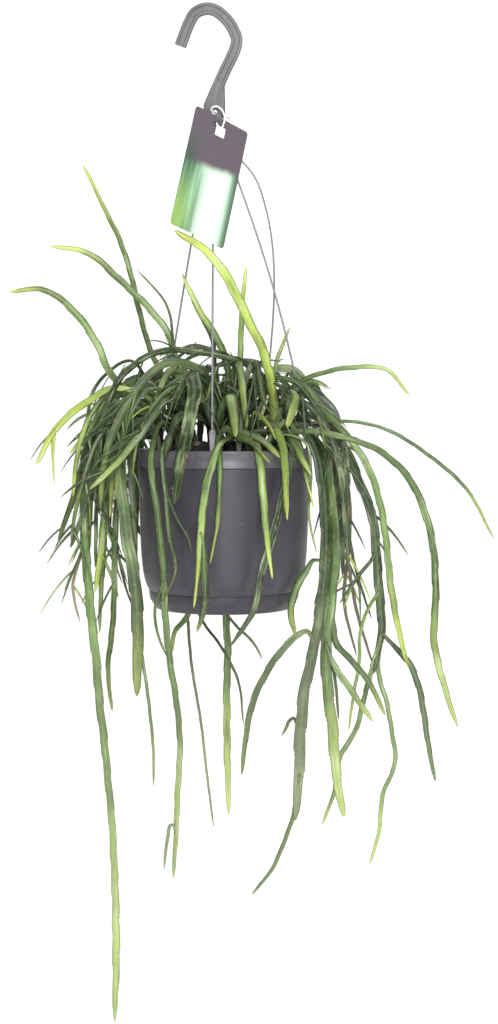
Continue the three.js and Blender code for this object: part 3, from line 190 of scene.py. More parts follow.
# Each row names a stem and gives its width, the depth of its root, the depth that it hangs at, its tone
# from 0, dark, to 1, yellow-green, with 2 for dried, and then its line as it looks from the front,
# across and up in mm at the pot's axis, root to tip. A branch gives the stem that it grows on, and its
# step towards the back, in place of the depths.
STEMS = """
up_1 6 -5 -25 0.5: -40,0 -62,30 -82,46 -95,56 -100,70 -110,91 -130,119 -150,134 -169,143 -187,136
up_2 6 10 15 0.5: -25,0 -38,40 -42,80 -50,103 -65,122 -77,133 -100,155 -120,171 -140,180 -151,176
up_3 4.5 25 30 0.45: -30,0 -42,35 -50,58 -56,66 -65,88 -72,112 -82,158 -90,180 -98,198 -110,220 -123,246
up_4 2.4 5 10 0.2: -35,0 -42,50 -44,92 -46,105 -50,125 -60,142 -75,155
up_5a 4.5 10 8 0.3: -5,0 -8,50 -9,85 -10,95 -17,110 -25,125 -36,152
up_5b 6 -8 -12 0.55: 5,0 5,50 3,80 0,85 -8,100 -20,118 -35,148
up_6 8 -15 -70 0.9: 38,0 40,30 40,55 38,70 32,90 22,110 12,130 0,153 -8,165 -17,173 -30,183 -43,190
up_7 5.5 0 -5 0.7: 14,0 14,40 14,78 15,110 17,140 19,158
up_8 4.5 8 10 0.6: 42,0 38,25 41,50 45,70 50,90 57,105
up_9 4.5 5 -5 0.55: 48,0 56,38 67,60 80,64 100,68 115,71 130,72 142,68 152,59 161,46
up_9b 4 up_9 -8 0.5: 70,62 78,58 87,54
left_7 3 20 12 0.1: -50,0 -62,45 -78,76 -90,74 -103,67 -113,50 -119,30 -120,10 -126,-30
left_8 3 -2 -10 0.15: -42,0 -45,50 -37,91 -25,90 -12,83 0,78 10,68
left_5 7.5 -12 -38 0.9: -35,0 -50,35 -75,50 -100,52 -115,43 -130,32 -145,18 -155,2 -163,-14
left_6 5 15 -5 0.5: -50,0 -72,36 -100,40 -110,28 -120,12 -134,-5
left_9 6.5 -25 -62 0.3: -25,5 -35,42 -45,50 -62,30 -75,10 -85,-3 -100,-20 -117,-35
left_1 7.5 -5 -18 0.45: -45,0 -65,30 -88,32 -108,5 -120,-35 -121,-75 -119,-100 -117,-130 -113,-165 -109,-200
  -107,-230 -103,-260 -99,-300 -96,-340 -95,-380 -94,-420 -94,-460 -95,-497
left_2 10 -20 -36 0.3: -50,0 -68,22 -85,18 -92,-10 -88,-40 -85,-70 -80,-100 -76,-130 -75,-160 -75,-190
  -75,-215
left_3 7 -8 5 0.55: -55,0 -75,15 -92,0 -101,-35 -105,-70 -108,-100 -112,-125
left_3a 5 12 18 0.25: -50,0 -78,30 -97,10 -103,-50 -105,-100 -107,-130 -108,-160
left_3b 5.5 0 -8 0.3: -55,0 -75,10 -88,-10 -93,-50 -95,-90 -95,-120 -96,-150 -100,-180 -100,-210 -97,-228
left_4 2.6 left_3 12 0.3: -100,-60 -92,-90 -88,-110 -82,-130 -78,-140
left_thin_1 6.5 25 28 0.2: -45,0 -75,40 -105,28 -119,0 -127,-30 -136,-58 -144,-80
left_thin_2 6 5 -30 0.15: -50,0 -80,38 -104,15 -112,-15 -118,-42 -125,-64 -133,-86
left_thin_3 4.5 -15 -50 0.25: -50,0 -72,35 -100,20 -122,-25 -133,-80
left_thin_4 3.2 18 35 1.6: -50,0 -82,28 -108,-5 -118,-45 -120,-75 -125,-100 -130,-112 -138,-123
left_thin_5 3 left_thin_4 -8 1.5: -128,-100 -131,-115 -130,-130 -125,-150
right_1 3 5 0 0.35: 45,0 70,22 97,24 125,22 140,17 155,9 170,0 185,-12 200,-25 215,-40 225,-52 232,-67
  234,-78
right_2 6 -38 -34 0.35: 30,0 50,12 70,14 90,12 110,8 130,1 150,-13 163,-30 173,-52 180,-75 184,-115 183,-140
  182,-165 183,-180 187,-195 195,-215 203,-242
right_3 6 -12 -14 0.55: 35,0 55,46 72,54 88,31 104,14 112,6 122,-10 130,-30 136,-50 140,-75 143,-100
  146,-125 150,-150 155,-172 160,-190
right_11 8 10 16 0.15: 45,5 75,32 98,12 112,-15 120,-35 127,-50 130,-75 133,-100 135,-130 137,-155 134,-175
  130,-195
right_4 5.5 right_11 -14 0.15: 137,-150 148,-172 160,-185 167,-200 173,-225 177,-255 183,-289
right_5 4.5 right_11 14 0.4: 133,-172 134,-190 140,-215 144,-240 150,-258 149,-270 143,-285 138,-300
  136,-320 134,-340 132,-355 126,-361
right_9 4.5 right_11 0 0.35: 132,-180 122,-215 117,-235 110,-255 100,-270 95,-300 85,-326
right_12b 3 right_11 10 0.7: 134,-110 122,-145 117,-170 117,-195 112,-215 108,-245
right_6 10 -20 -30 0.2: 40,0 60,18 75,12 82,-8 85,-30 88,-60 88,-90 86,-120 83,-150 78,-170 72,-190 68,-215
  65,-240 65,-270 64,-300 61,-322
right_7 9 -10 -18 0.35: 45,0 66,18 83,5 91,-30 95,-60 96,-90 94,-120 90,-150 88,-180 90,-210 94,-240 96,-270
  99,-290 104,-320
right_6t 3 right_6 -6 0.3: 67,-222 60,-232 55,-241 49,-250
right_7b 3 right_7 8 0.1: 89,-178 97,-200 99,-235
right_8a 6 right_7 14 0.3: 92,-140 98,-170 110,-183 122,-195 130,-210 140,-232
right_8b 6 right_7 -10 0.35: 90,-155 92,-180 100,-195 112,-212 129,-237
right_10 5.5 right_6 -14 0.35: 82,-150 75,-158 62,-163 50,-175 38,-192 28,-212 22,-235 18,-255 15,-283
right_12a 3 20 30 1.3: 50,0 78,20 95,-10 104,-50 108,-100 112,-130 118,-150 125,-175 130,-190
right_12c 3 30 42 1.3: 50,5 75,30 98,0 110,-50 108,-90 104,-130 110,-160 115,-180
right_13 6 right_6 -12 0.5: 87,-80 79,-96 70,-108 63,-120 59,-132 58,-146 62,-163
right_14 2.6 -38 -52 0.4: 40,0 58,10 66,-20 70,-50 75,-70 80,-90
front_1 12 -10 -88 0.1: 5,0 -5,55 -18,70 -22,50 -28,30 -33,10 -37,-10 -40,-30 -43,-48
front_1b 8 -30 -80 0.15: -20,0 -32,32 -42,25 -47,8 -52,-8
front_2 6.5 -30 -92 0.6: 12,0 12,20 8,22 3,10 -2,-5 -8,-20 -13,-40 -17,-60 -20,-80 -22,-100 -23,-120
  -26,-138
front_2b 5 -42 -84 0.45: 5,0 5,15 2,0 -4,-20 -6,-40 -5,-60 -8,-80 -12,-100
front_2c 6 front_2 -5 0.3: -19,-72 -17,-100 -16,-120 -17,-140 -24,-159
front_4 6 -48 -92 0.55: 0,0 2,14 8,5 15,-3 25,-10 36,-19
front_4b 6 -46 -84 0.5: 5,0 8,20 15,14 30,5 40,-2 47,-10
front_5 6.5 -40 -88 0.7: 15,0 17,18 20,6 22,-18 27,-35 32,-55 36,-75 39,-90 42,-113
front_6 7 -38 -76 0.8: 38,0 42,22 47,5 50,-10 52,-30 54,-62
front_6b 4 -30 -78 0.85: 25,0 24,32 32,26 42,18 45,8
front_7 5 -34 -62 0.55: 45,0 54,15 58,-20 65,-33 75,-50
front_7b 8 -26 -66 0.45: 40,0 46,22 56,8 62,-8 70,-18 75,-25
front_8 6 -32 -84 0.1: 40,0 47,14 50,-20 47,-50 45,-65 40,-85 35,-100 30,-120 25,-140 20,-155 12,-166 5,-172
front_9 7 45 92 0.55: 5,0 8,30 6,5 3,-60 1,-120 2,-145 3,-180 2,-220 3,-260 4,-318
front_9b 2.6 front_9 -8 0.5: 2,-140 8,-151 18,-160 28,-172 33,-183
front_10 5.5 -25 -74 0.35: -40,0 -52,24 -58,-8 -58,-40 -55,-80 -52,-110 -50,-160 -46,-190 -41,-220 -38,-250
  -39,-280 -41,-310 -42,-345 -44,-373
front_10b 2.6 front_10 -6 0.3: -42,-310 -45,-322 -50,-345 -52,-365
front_10c 2.6 front_10 6 0.25: -52,-115 -60,-140 -56,-165 -50,-180
front_11 2.8 40 88 0.2: -15,0 -24,26 -32,0 -33,-60 -32,-120 -31,-150 -29,-180 -24,-210 -19,-245 -15,-280
  -9,-328
front_11b 2.6 front_11 -8 0.2: -31,-130 -18,-152 -5,-168 5,-185 12,-200 16,-220 17,-240
left_2b 3 left_2 8 0.4: -75,-155 -72,-170 -68,-200 -64,-235 -61,-265 -61,-293
front_thin_2 4 -32 -80 0.25: -30,0 -42,20 -48,-20 -48,-60 -47,-90 -42,-105 -40,-118 -47,-127 -55,-135
front_thin_3 3 front_thin_2 -6 0.2: -48,-45 -40,-62 -32,-75 -28,-90
crown_1 6 6 -40 0.12: 34,0 37,50 28,68 10,77 -8,80 -25,84 -45,87 -62,82 -80,71 -95,52 -105,24 -110,-10
  -112,-46
crown_2 6.5 -16 -52 0.25: -6,0 -8,44 -20,64 -40,74 -60,66 -78,48 -94,20 -104,-12 -107,-52
crown_3 5 16 30 0.15: -30,0 -36,45 -22,66 0,74 22,76 42,68 60,48 72,22 76,-6
crown_4 4 -4 -46 0.3: 12,0 8,40 -6,58 -26,62 -46,54 -62,34 -74,8 -80,-24
crown_5 4.5 -12 -50 0.2: 14,0 20,42 36,60 54,62 70,50 82,28 88,0
crown_6 3 12 -10 0.1: 22,0 18,60 -2,82 -26,90 -44,88 -58,76
right_6e 3.8 right_6 2 0.1: 64,-300 60,-322 53,-340 45,-359 35,-375 24,-387
left_10 6 -16 -30 0.2: -55,0 -70,16 -80,-4 -80,-30 -78,-58 -76,-84
front_12 5 front_11 -10 0.65: -32,-120 -31,-143 -40,-154 -44,-163 -45,-178
right_15 3 24 34 0.15: 50,5 82,24 100,-10 106,-50 112,-96 122,-129 128,-148
right_16 3.5 right_11 -10 0.15: 130,-75 127,-98 112,-117 100,-134
left_11 4 6 -4 0.1: -52,0 -80,34 -100,20 -108,-10 -110,-44 -111,-75 -112,-103
left_12 4.5 2 -6 0.1: -48,0 -68,24 -77,0 -78,-40 -77,-80 -75,-110 -71,-134
stub_1 9 -30 -72 0.4: -5,0 -3,40 3,50 8,30 10,10
stub_2 9 -14 -60 0.4: 50,0 58,48 65,58 60,35 54,18
stub_3 4 -20 -46 2: 22,0 26,10 33,27 42,48
"""

# Seeded arches: how many, seed, headings, root, top, reach, tip, width and tone.
FILLS = [
    (11, 7, (36, 148), (20, 58), (38, 74), (94, 150), (-128, -30), (5, 8), (0.1, 0.5)),
    (7, 19, (150, 215), (25, 55), (40, 70), (96, 132), (-78, -20), (4, 6), (0.1, 0.6)),
    (5, 31, (-25, 30), (25, 55), (40, 66), (88, 110), (-85, -30), (4, 6), (0.1, 0.6)),
    (16, 43, (0, 360), (5, 50), (56, 88), (44, 82), (4, 46), (3.6, 7), (0.05, 0.45)),
]


def dots(p, q):
    return np.einsum("ij,ij->i", p, q)


def unit(vector):
    return vector / np.linalg.norm(vector)


def units(rows):
    return rows / np.linalg.norm(rows, axis=1)[:, None]


def numbers_of(text):
    """The rows of numbers of a text: commas within a row, blanks between rows."""
    return np.array([[float(value) for value in row.split(",")] for row in text.split()])


def heading(degrees):
    """A level direction, in degrees from the right and away from the viewer."""
    angle = math.radians(degrees)
    return np.array([math.cos(angle), math.sin(angle), 0])


def drawer(seed):
    """A seeded draw from 0 to 1, the same every time."""
    state = [seed]

    def pull():
        state[0] = (state[0] * 1664525 + 1013904223) & 0xFFFFFFFF
        return state[0] / 4294967296

    return pull


TAG_ACROSS = unit(np.array([44.2, 28.0, -19.1]))
TAG_DOWN = unit(np.array([-20.8, -38.7, -104.9]))
TAG_OUT = unit(np.cross(TAG_DOWN, TAG_ACROSS))


def on_tag(across, down, out):
    return TAG_CORNER + TAG_ACROSS * across + TAG_DOWN * down + TAG_OUT * out


def at_pot(points):
    """From mm at the pot's rim to metres in the part's frame."""
    return (np.asarray(points) + POT_AT) * MM


def depth_of(t):
    return t * t * (3 - 2 * t)


def smooth_line(points, steps):
    """A centripetal Catmull-Rom curve through points."""
    p = np.array(points)
    p = np.vstack([2 * p[0] - p[1], p, 2 * p[-1] - p[-2]])
    gap = np.sum((p[1:] - p[:-1]) ** 2, axis=1) ** 0.25
    line = []
    for i in range(len(points) - 1):
        x0, x1, x2, x3 = p[i : i + 4]
        d0, d1, d2 = gap[i : i + 3]
        t1 = ((x1 - x0) / d0 - (x2 - x0) / (d0 + d1) + (x2 - x1) / d1) * d1
        t2 = ((x2 - x1) / d1 - (x3 - x1) / (d1 + d2) + (x3 - x2) / d2) * d1
        for k in range(steps):
            t = k / steps
            c2 = -3 * x1 + 3 * x2 - 2 * t1 - t2
            c3 = 2 * x1 - 2 * x2 + t1 + t2
            line.append(x1 + t1 * t + c2 * t**2 + c3 * t**3)
    line.append(p[-2])
    return np.array(line)


def lengths(line):
    return np.concatenate([[0], np.cumsum(np.linalg.norm(line[1:] - line[:-1], axis=1))])


def at_lengths(line, far, wanted):
    return np.stack([np.interp(wanted, far, line[:, i]) for i in range(3)], axis=1)


def flatten(vector, run):
    flat = vector - run * np.dot(vector, run)
    return flat / math.sqrt(np.dot(flat, flat))


def carried(side, runs, start=0):
    """A direction at one place of a line, carried along it both ways and kept square to it."""
    sides = np.empty_like(runs)
    sides[start] = flatten(side, runs[start])
    for k in range(start + 1, len(runs)):
        sides[k] = flatten(sides[k - 1], runs[k])
    for k in range(start - 1, -1, -1):
        sides[k] = flatten(sides[k + 1], runs[k])
    return sides


# Forms that both the pieces and the settling of the stems need


def soil_top(r):
    return SOIL_EDGE_Z + SOIL_DOME * (1 - (r / NECK_R) ** 2)


def pot_reach(z):
    wall = BODY_R + (z + COLLAR_H) / (KNEE_Z + COLLAR_H) * (KNEE_R - BODY_R)
    foot = KNEE_R + (z - KNEE_Z) / (SAUCER_TOP - KNEE_Z) * (SAUCER_R - KNEE_R)
    upper = np.where(z > -COLLAR_H, RIM_R, wall)
    return np.where(z > KNEE_Z, upper, np.maximum(SAUCER_R, foot))


def strand_line(clip, bow, lean, widest):
    """A strand from just inside the cap's socket down to its bead."""
    out = heading(clip)
    top = np.array([HEAD_X, 0, CAP_BASE]) - POT_AT + SOCKET_RING * out
    foot = PEG_RING * out + np.array([0, 0, BEAD_Z])
    early = math.log(0.5) / math.log(widest)
    points = [top + np.array([0, 0, -2])]
    for k in range(1, 8):
        t = k / 8
        points.append(top * (1 - t) + foot * t + heading(lean) * bow * math.sin(math.pi * t**early))
    return [*points, foot]


def opened(s, length):
    """How far a stem has opened from its round base to a flat blade."""
    return depth_of(np.minimum(1, s / min(BASE_LENGTH, 0.45 * length)))


def half_width(half, length, s):
    """Round at the base, flat beyond and narrow at the tip."""
    flat = opened(s, length)
    left = (length - s) / min(60, 0.4 * length)
    close = 0.4 + 0.6 * np.sqrt(np.clip(left, 0, 1))
    return min(BASE_HALF, half) * (1 - flat) + half * flat * close


def half_thick(s):
    return HALF_THICK + (BASE_HALF - HALF_THICK) * (1 - depth_of(np.minimum(1, s / BASE_LENGTH))) * 0.8


# The plant


def make_sites():
    sites = []
    for name, (r, count, turn) in RINGS.items():
        for k in range(count):
            angle = 2 * math.pi * (k + turn) / count
            place = np.array([r * math.cos(angle), r * math.sin(angle)])
            site = {"name": f"stems_{name}_{k + 1}", "at": place, "top": soil_top(r), "stems": []}
            sites.append({**site, "number": len(sites)})
    return sites


def placed(x, z, y):
    """From how a place looks to where it is, at its depth."""
    grow_by = 1 + y / VIEW_DISTANCE
    return np.array([VIEW_X + (x - VIEW_X) * grow_by, y, VIEW_Z + (z - VIEW_Z) * grow_by])


def stations(points, spacing):
    fine = smooth_line(points, 12)
    far = lengths(fine)
    count = min(19, max(6, math.floor(far[-1] / spacing + 0.5) + 3))
    wanted = far[-1] * (np.arange(count) / (count - 1)) ** 1.25
    return at_lengths(fine, far, wanted)


def rooted(site, following):
    x, y = site["at"]
    lean = math.atan2(following[1] - y, following[0] - x)
    way = np.array([math.cos(lean), math.sin(lean), 0])
    foot = np.array([x, y, site["top"]]) + 1.3 * way
    return [foot + np.array([0, 0, -2]), foot + 2.5 * way + np.array([0, 0, 14])]


def strand_stem(strand):
    """A strand in the form of a stem that stays where it is."""
    *spots, foot = strand_line(*strand)
    spots = np.array([*spots, foot, [foot[0], foot[1], 1]])
    none = np.zeros(len(spots))
    half = none + BEAD_R
    return {"spots": spots, "roll": 0, "along": none, "free": none, "a": half, "b": half, "kin": -1}


class Plant:
    """All the stems, grown from their written lines and bent clear of each other."""

    def __init__(self):
        self.sites = make_sites()
        self.stems = []
        self.named = {}
        self.draw = drawer(101)
        for row in STEMS.strip().replace("\n ", "").splitlines():
            head, line = row.split(": ")
            name, w, start, aside, tone = head.split()
            traits = (name, float(w), float(tone))
            if start in self.named:
                self.plant_branch(traits, self.named[start], float(aside), numbers_of(line))
            else:
                self.plant_drawn(traits, float(start), float(aside), numbers_of(line))
        for fill in FILLS:
            self.plant_fill(*fill)
        self.settle()

    def site_near(self, x, y):
        def cost(site):
            return math.hypot(site["at"][0] - x, site["at"][1] - y) + CROWDED * len(site["stems"])

        return min((site for site in self.sites if len(site["stems"]) < SITE_HOLDS), key=cost)

    def add(self, traits, points, site, parent=None, joint=0):
        name, w, tone = traits
        spots = stations(points, 1.5 * STATION if w < THIN else STATION)
        along = lengths(spots)
        roll = (self.draw() - 0.5) * 1.1
        half = w / 2 / math.cos(roll)
        stem = {"name": name, "tone": tone, "spots": spots, "along": along, "roll": roll, "half": half}
        stem.update(a=half_width(half, along[-1], along), b=half_thick(along), kin=site["number"])
        stem.update(free=np.minimum(1, (along / (22 if parent else 40)) ** 2), number=len(self.stems))
        stem.update(site=site, parent=parent, joint=joint)
        site["stems"].append(stem)
        self.stems.append(stem)
        self.named[name] = stem

    def plant_drawn(self, traits, back, hang, seen):
        far = np.concatenate([[0], np.cumsum(np.hypot(*(seen[1:] - seen[:-1]).T))])
        depth = back + (hang - back) * depth_of(np.minimum(1, far / REACH))
        points = [placed(x, z, y) for (x, z), y in zip(seen, depth)]
        site = self.site_near(*points[0][:2])
        self.add(traits, rooted(site, points[1]) + points[1:], site)

    def plant_branch(self, traits, parent, side, seen):
        inner = parent["spots"][1:-1]
        near = np.hypot(inner[:, 0] - seen[0][0], inner[:, 2] - seen[0][1])
        joint = int(np.argmin(near)) + 1
        start = parent["spots"][joint]
        reach = min(3, len(seen) - 1)
        points = [start.copy()]
        for k, (x, z) in enumerate(seen[1:]):
            points.append(placed(x, z, start[1] + side * depth_of(min(1, (k + 1) / reach))))
        self.add(traits, points, parent["site"], parent, joint)

    def plant_fill(self, count, seed, turn, root, up, out, down, width, tones):
        pull = drawer(seed)

        def within(bounds):
            return bounds[0] + (bounds[1] - bounds[0]) * pull()

        for k in range(count):
            share = (k + 0.2 + 0.6 * pull()) / count
            c, s = heading(turn[0] + (turn[1] - turn[0]) * share)[:2]
            start, top, reach, low = within(root), within(up), within(out), within(down)
            site = self.site_near(start * c, start * s)
            bend = (pull() - 0.5) * 24
            rows = [
                (start + (reach - start) * 0.3, top * 0.93, bend * 0.3),
                (start + (reach - start) * 0.62, top * 0.9, bend * 0.6),
                (start + (reach - start) * 0.9, top * 0.5 + low * 0.2, bend * 0.9),
                (reach, low * 0.55 + top * 0.08, bend),
                (reach + 2, low, bend),
            ]
            line = [np.array([r * c - a * s, r * s + a * c, z]) for r, z, a in rows]
            tone = tones[0] + (tones[1] - tones[0]) * ((k * 5) % count) / count
            self.add((f"fill_{seed}_{k}", within(width), tone), rooted(site, line[0]) + line, site)

    def settle(self):
        """Bends stems clear of each other, the pot, the strands and the tag."""
        everything = self.stems + [strand_stem(strand) for strand in STRANDS.values()]
        names = ("spots", "along", "free", "a", "b")
        self.spots, self.along, free, self.a, self.b = (
            np.concatenate([stem[name] for stem in everything]) for name in names
        )
        first = np.cumsum([0] + [len(stem["spots"]) for stem in everything])
        spans = [slice(*ends) for ends in zip(first[:-1], first[1:])]
        starts, ends = first[:-1], first[1:] - 1
        bits = []
        for n, stem in enumerate(everything):
            bits += [(first[n] + k, n, k) for k in range(len(stem["spots"]) - 1)]
        self.bits = np.array(bits)
        self.kin = np.array([everything[n]["kin"] for n in self.bits[:, 1]])
        branches = [stem for stem in self.stems if stem["parent"]]
        joints = [first[stem["parent"]["number"]] + stem["joint"] for stem in branches]
        tied = list(zip([first[stem["number"]] for stem in branches], joints))
        for turn in range(ROUNDS):
            self.turn_blades(everything, spans)
            if turn % RENEW == 0:
                pairs = self.close_pairs()
            self.move = np.zeros_like(self.spots)
            self.hits = np.zeros(len(self.spots))
            self.touch(pairs)
            self.push_off()
            move = self.move / np.maximum(1, self.hits)[:, None]
            before, after = np.roll(move, 1, axis=0), np.roll(move, -1, axis=0)
            before[starts] = move[starts]
            after[ends] = move[ends]
            self.spots += free[:, None] * (0.6 * move + 0.2 * before + 0.2 * after)
            for child, joint in tied:
                self.spots[child] = self.spots[joint]
        self.turn_blades(everything, spans)
        for stem, span in zip(self.stems, spans):
            stem.update(spots=self.spots[span], side=self.side[span], out=self.out[span])

    def turn_blades(self, everything, spans):
        """Finds the blades' own directions, carried from their hanging ends back to their roots."""
        self.side = np.zeros_like(self.spots)
        runs = np.zeros_like(self.spots)
        depth = np.array([0.0, 1.0, 0.0])
        for stem, span in zip(everything, spans):
            runs[span] = units(np.gradient(self.spots[span], axis=0))
            start = math.floor((len(stem["spots"]) - 1) * 0.7 + 0.5)
            face = np.cross(runs[span][start], depth)
            if np.linalg.norm(face) < 0.2:
                face = np.array([1.0, 0.0, 0.0])
            across = unit(face) * math.cos(stem["roll"]) + depth * math.sin(stem["roll"])
            self.side[span] = carried(across, runs[span], start)
        self.out = np.cross(runs, self.side)

    def close_pairs(self):
        """The pairs of stretches that may meet."""
        bits, kin = self.bits, self.kin
        low = np.minimum(self.spots[bits[:, 0]], self.spots[bits[:, 0] + 1]) - NEARBY
        high = np.maximum(self.spots[bits[:, 0]], self.spots[bits[:, 0] + 1]) + NEARBY
        pairs = []
        for i in range(len(bits) - 1):
            j = np.arange(i + 1, len(bits))
            meet = np.all((low[i] <= high[j]) & (high[i] >= low[j]), axis=1)
            meet &= bits[j, 1] != bits[i, 1]
            meet &= np.maximum(kin[i], kin[j]) >= 0
            meet &= (kin[j] != kin[i]) | ((bits[i, 2] >= 2) & (bits[j, 2] >= 2))
            pairs.append(np.stack([np.full(meet.sum(), i), j[meet]], axis=1))
        return np.vstack(pairs)

    def push_off(self):
        """Pushes stems out of the pot and off the tag."""
        for share in (0, 0.25, 0.5, 0.75):
            i = self.bits[self.kin >= 0, 0]
            i = i[self.along[i] * (1 - share) + self.along[i + 1] * share >= HELD]
            at = self.spots[i] * (1 - share) + self.spots[i + 1] * share
            r = np.hypot(at[:, 0], at[:, 1])
            floor = np.where(r < NECK_R - WALL, soil_top(r), 0)
            deep_in = pot_reach(at[:, 2]) + POT_ROOM - r
            deep_down = floor + POT_ROOM - at[:, 2]
            inside = (deep_in > 0) & (deep_down > 0) & (at[:, 2] >= SAUCER_BASE - POT_ROOM)
            outward = (r > NECK_R) & (deep_in < deep_down)
            push = np.zeros_like(at)
            push[:, 2] = np.where(outward, 0, deep_down)
            push[:, :2] = np.where(outward[:, None], at[:, :2] / r[:, None] * deep_in[:, None], 0)
            self.spread(i[inside], push[inside], share)
            away = at - TAG_CORNER
            u, v, n = away @ TAG_ACROSS, away @ TAG_DOWN, away @ TAG_OUT
            room = np.maximum(TAG_ROOM, self.a[i] * 0.8)
            beside = (np.minimum(u, v) < -room) | (u > TAG_W + room) | (v > TAG_H + room)
            near = ~beside & (np.abs(n) <= room)
            amount = np.where(n > 0, room - n, -room - n)
            self.spread(i[near], (TAG_OUT * amount[:, None])[near], share)

    def spread(self, i, push, share):
        for ends, part in ((i, 1 - share), (i + 1, share)):
            np.add.at(self.move, ends, push * part)
            np.add.at(self.hits, ends, part)

    def touch(self, pairs):
        """Pushes apart the stretches of stem that touch, along the way that takes the least."""
        spots, side, out = self.spots, self.side, self.out
        i, j = self.bits[pairs[:, 0], 0], self.bits[pairs[:, 1], 0]
        p0, q0 = spots[i], spots[j]
        d1, d2 = spots[i + 1] - p0, spots[j + 1] - q0
        r = p0 - q0
        aa, ee, bb, cc, ff = dots(d1, d1), dots(d2, d2), dots(d1, d2), dots(d1, r), dots(d2, r)
        below = aa * ee - bb * bb
        crossing = below > 1e-6 * aa * ee
        s = np.where(crossing, np.clip((bb * ff - cc * ee) / np.where(crossing, below, 1), 0, 1), 0.5)
        t = np.clip((bb * s + ff) / ee, 0, 1)
        s = np.clip((bb * t - cc) / aa, 0, 1)
        gap = (q0 + d2 * t[:, None]) - (p0 + d1 * s[:, None])
        size = [(v[k] * (1 - u) + v[k + 1] * u) for k, u in ((i, s), (j, t)) for v in (self.a, self.b)]
        dist = np.sqrt(dots(gap, gap))
        near = dist <= np.maximum(size[0], size[1]) + np.maximum(size[2], size[3]) + CLEAR
        i, j, s, t, gap, dist, pairs, *size = (v[near] for v in (i, j, s, t, gap, dist, pairs, *size))
        run1 = d1[near] / np.sqrt(aa[near])[:, None]
        run2 = d2[near] / np.sqrt(ee[near])[:, None]
        straight = np.where((dist < 1e-3)[:, None], np.cross(run1, run2), gap)
        best = np.full(len(i), np.inf)
        way = np.zeros_like(gap)
        apart = np.zeros(len(i), bool)
        for choice in (straight, out[i], out[j]):
            long = np.sqrt(dots(choice, choice))
            real = long >= 1e-6
            towards = choice / np.where(real, long, 1)[:, None]
            towards = np.where((dots(towards, gap) < 0)[:, None], -towards, towards)
            need = CLEAR + support(side[i], out[i], run1, size[0], size[1], towards)
            need = need + support(side[j], out[j], run2, size[2], size[3], towards)
            short = need - dots(towards, gap)
            apart |= real & (short <= 0)
            better = real & (short < best)
            best = np.where(better, short, best)
            way = np.where(better[:, None], towards, way)
        hit = ~apart & np.isfinite(best)
        i, j, s, t, way, best, pairs = (v[hit] for v in (i, j, s, t, way, best, pairs))
        held1, held2 = (self.kin[pairs[:, k]] < 0 for k in (0, 1))
        step = way * (best * np.where(held1 | held2, 1, 0.5))[:, None]
        rows = np.stack([i, i + 1, j, j + 1], axis=1)
        weights = np.stack([1 - s, s, 1 - t, t], axis=1)
        weights[held1, :2] = 0
        weights[held2, 2:] = 0
        pushes = step[:, None, :] * (weights * np.array([-1, -1, 1, 1]))[:, :, None]
        np.add.at(self.move, rows.ravel(), pushes.reshape(-1, 3))
        np.add.at(self.hits, rows.ravel(), weights.ravel())


def support(side, out, run, a, b, towards):
    """Half extent of a stem's section towards a direction."""
    flat = np.maximum(np.abs(dots(side, towards)) * a, np.abs(dots(out, towards)) * b)
    return flat + BLUNT * np.abs(dots(run, towards))


# Materials


def both_ways(operation):
    """A Math node as an operator with the value on its left, and the same with it on its right."""

    def left(self, other):
        return self.finish.node("ShaderNodeMath", self, other, operation=operation)

    def right(self, other):
        return self.finish.node("ShaderNodeMath", other, self, operation=operation)

    return left, right


class Value:
    """A number socket of a material; Python's operators on it add Math nodes."""

    __add__, __radd__ = both_ways("ADD")
    __sub__, __rsub__ = both_ways("SUBTRACT")
    __mul__, __rmul__ = both_ways("MULTIPLY")

    def __init__(self, finish, socket):
        self.finish = finish
        self.socket = socket

    def __abs__(self):
        return self.finish.node("ShaderNodeMath", self, operation="ABSOLUTE")

    def rise(self, low, high):
        """0 up to low and 1 from high on, with a smooth rise between them."""
        numbers = (self, low, high, 0.0, 1.0)
        return self.finish.node("ShaderNodeMapRange", *numbers, interpolation_type="SMOOTHSTEP")


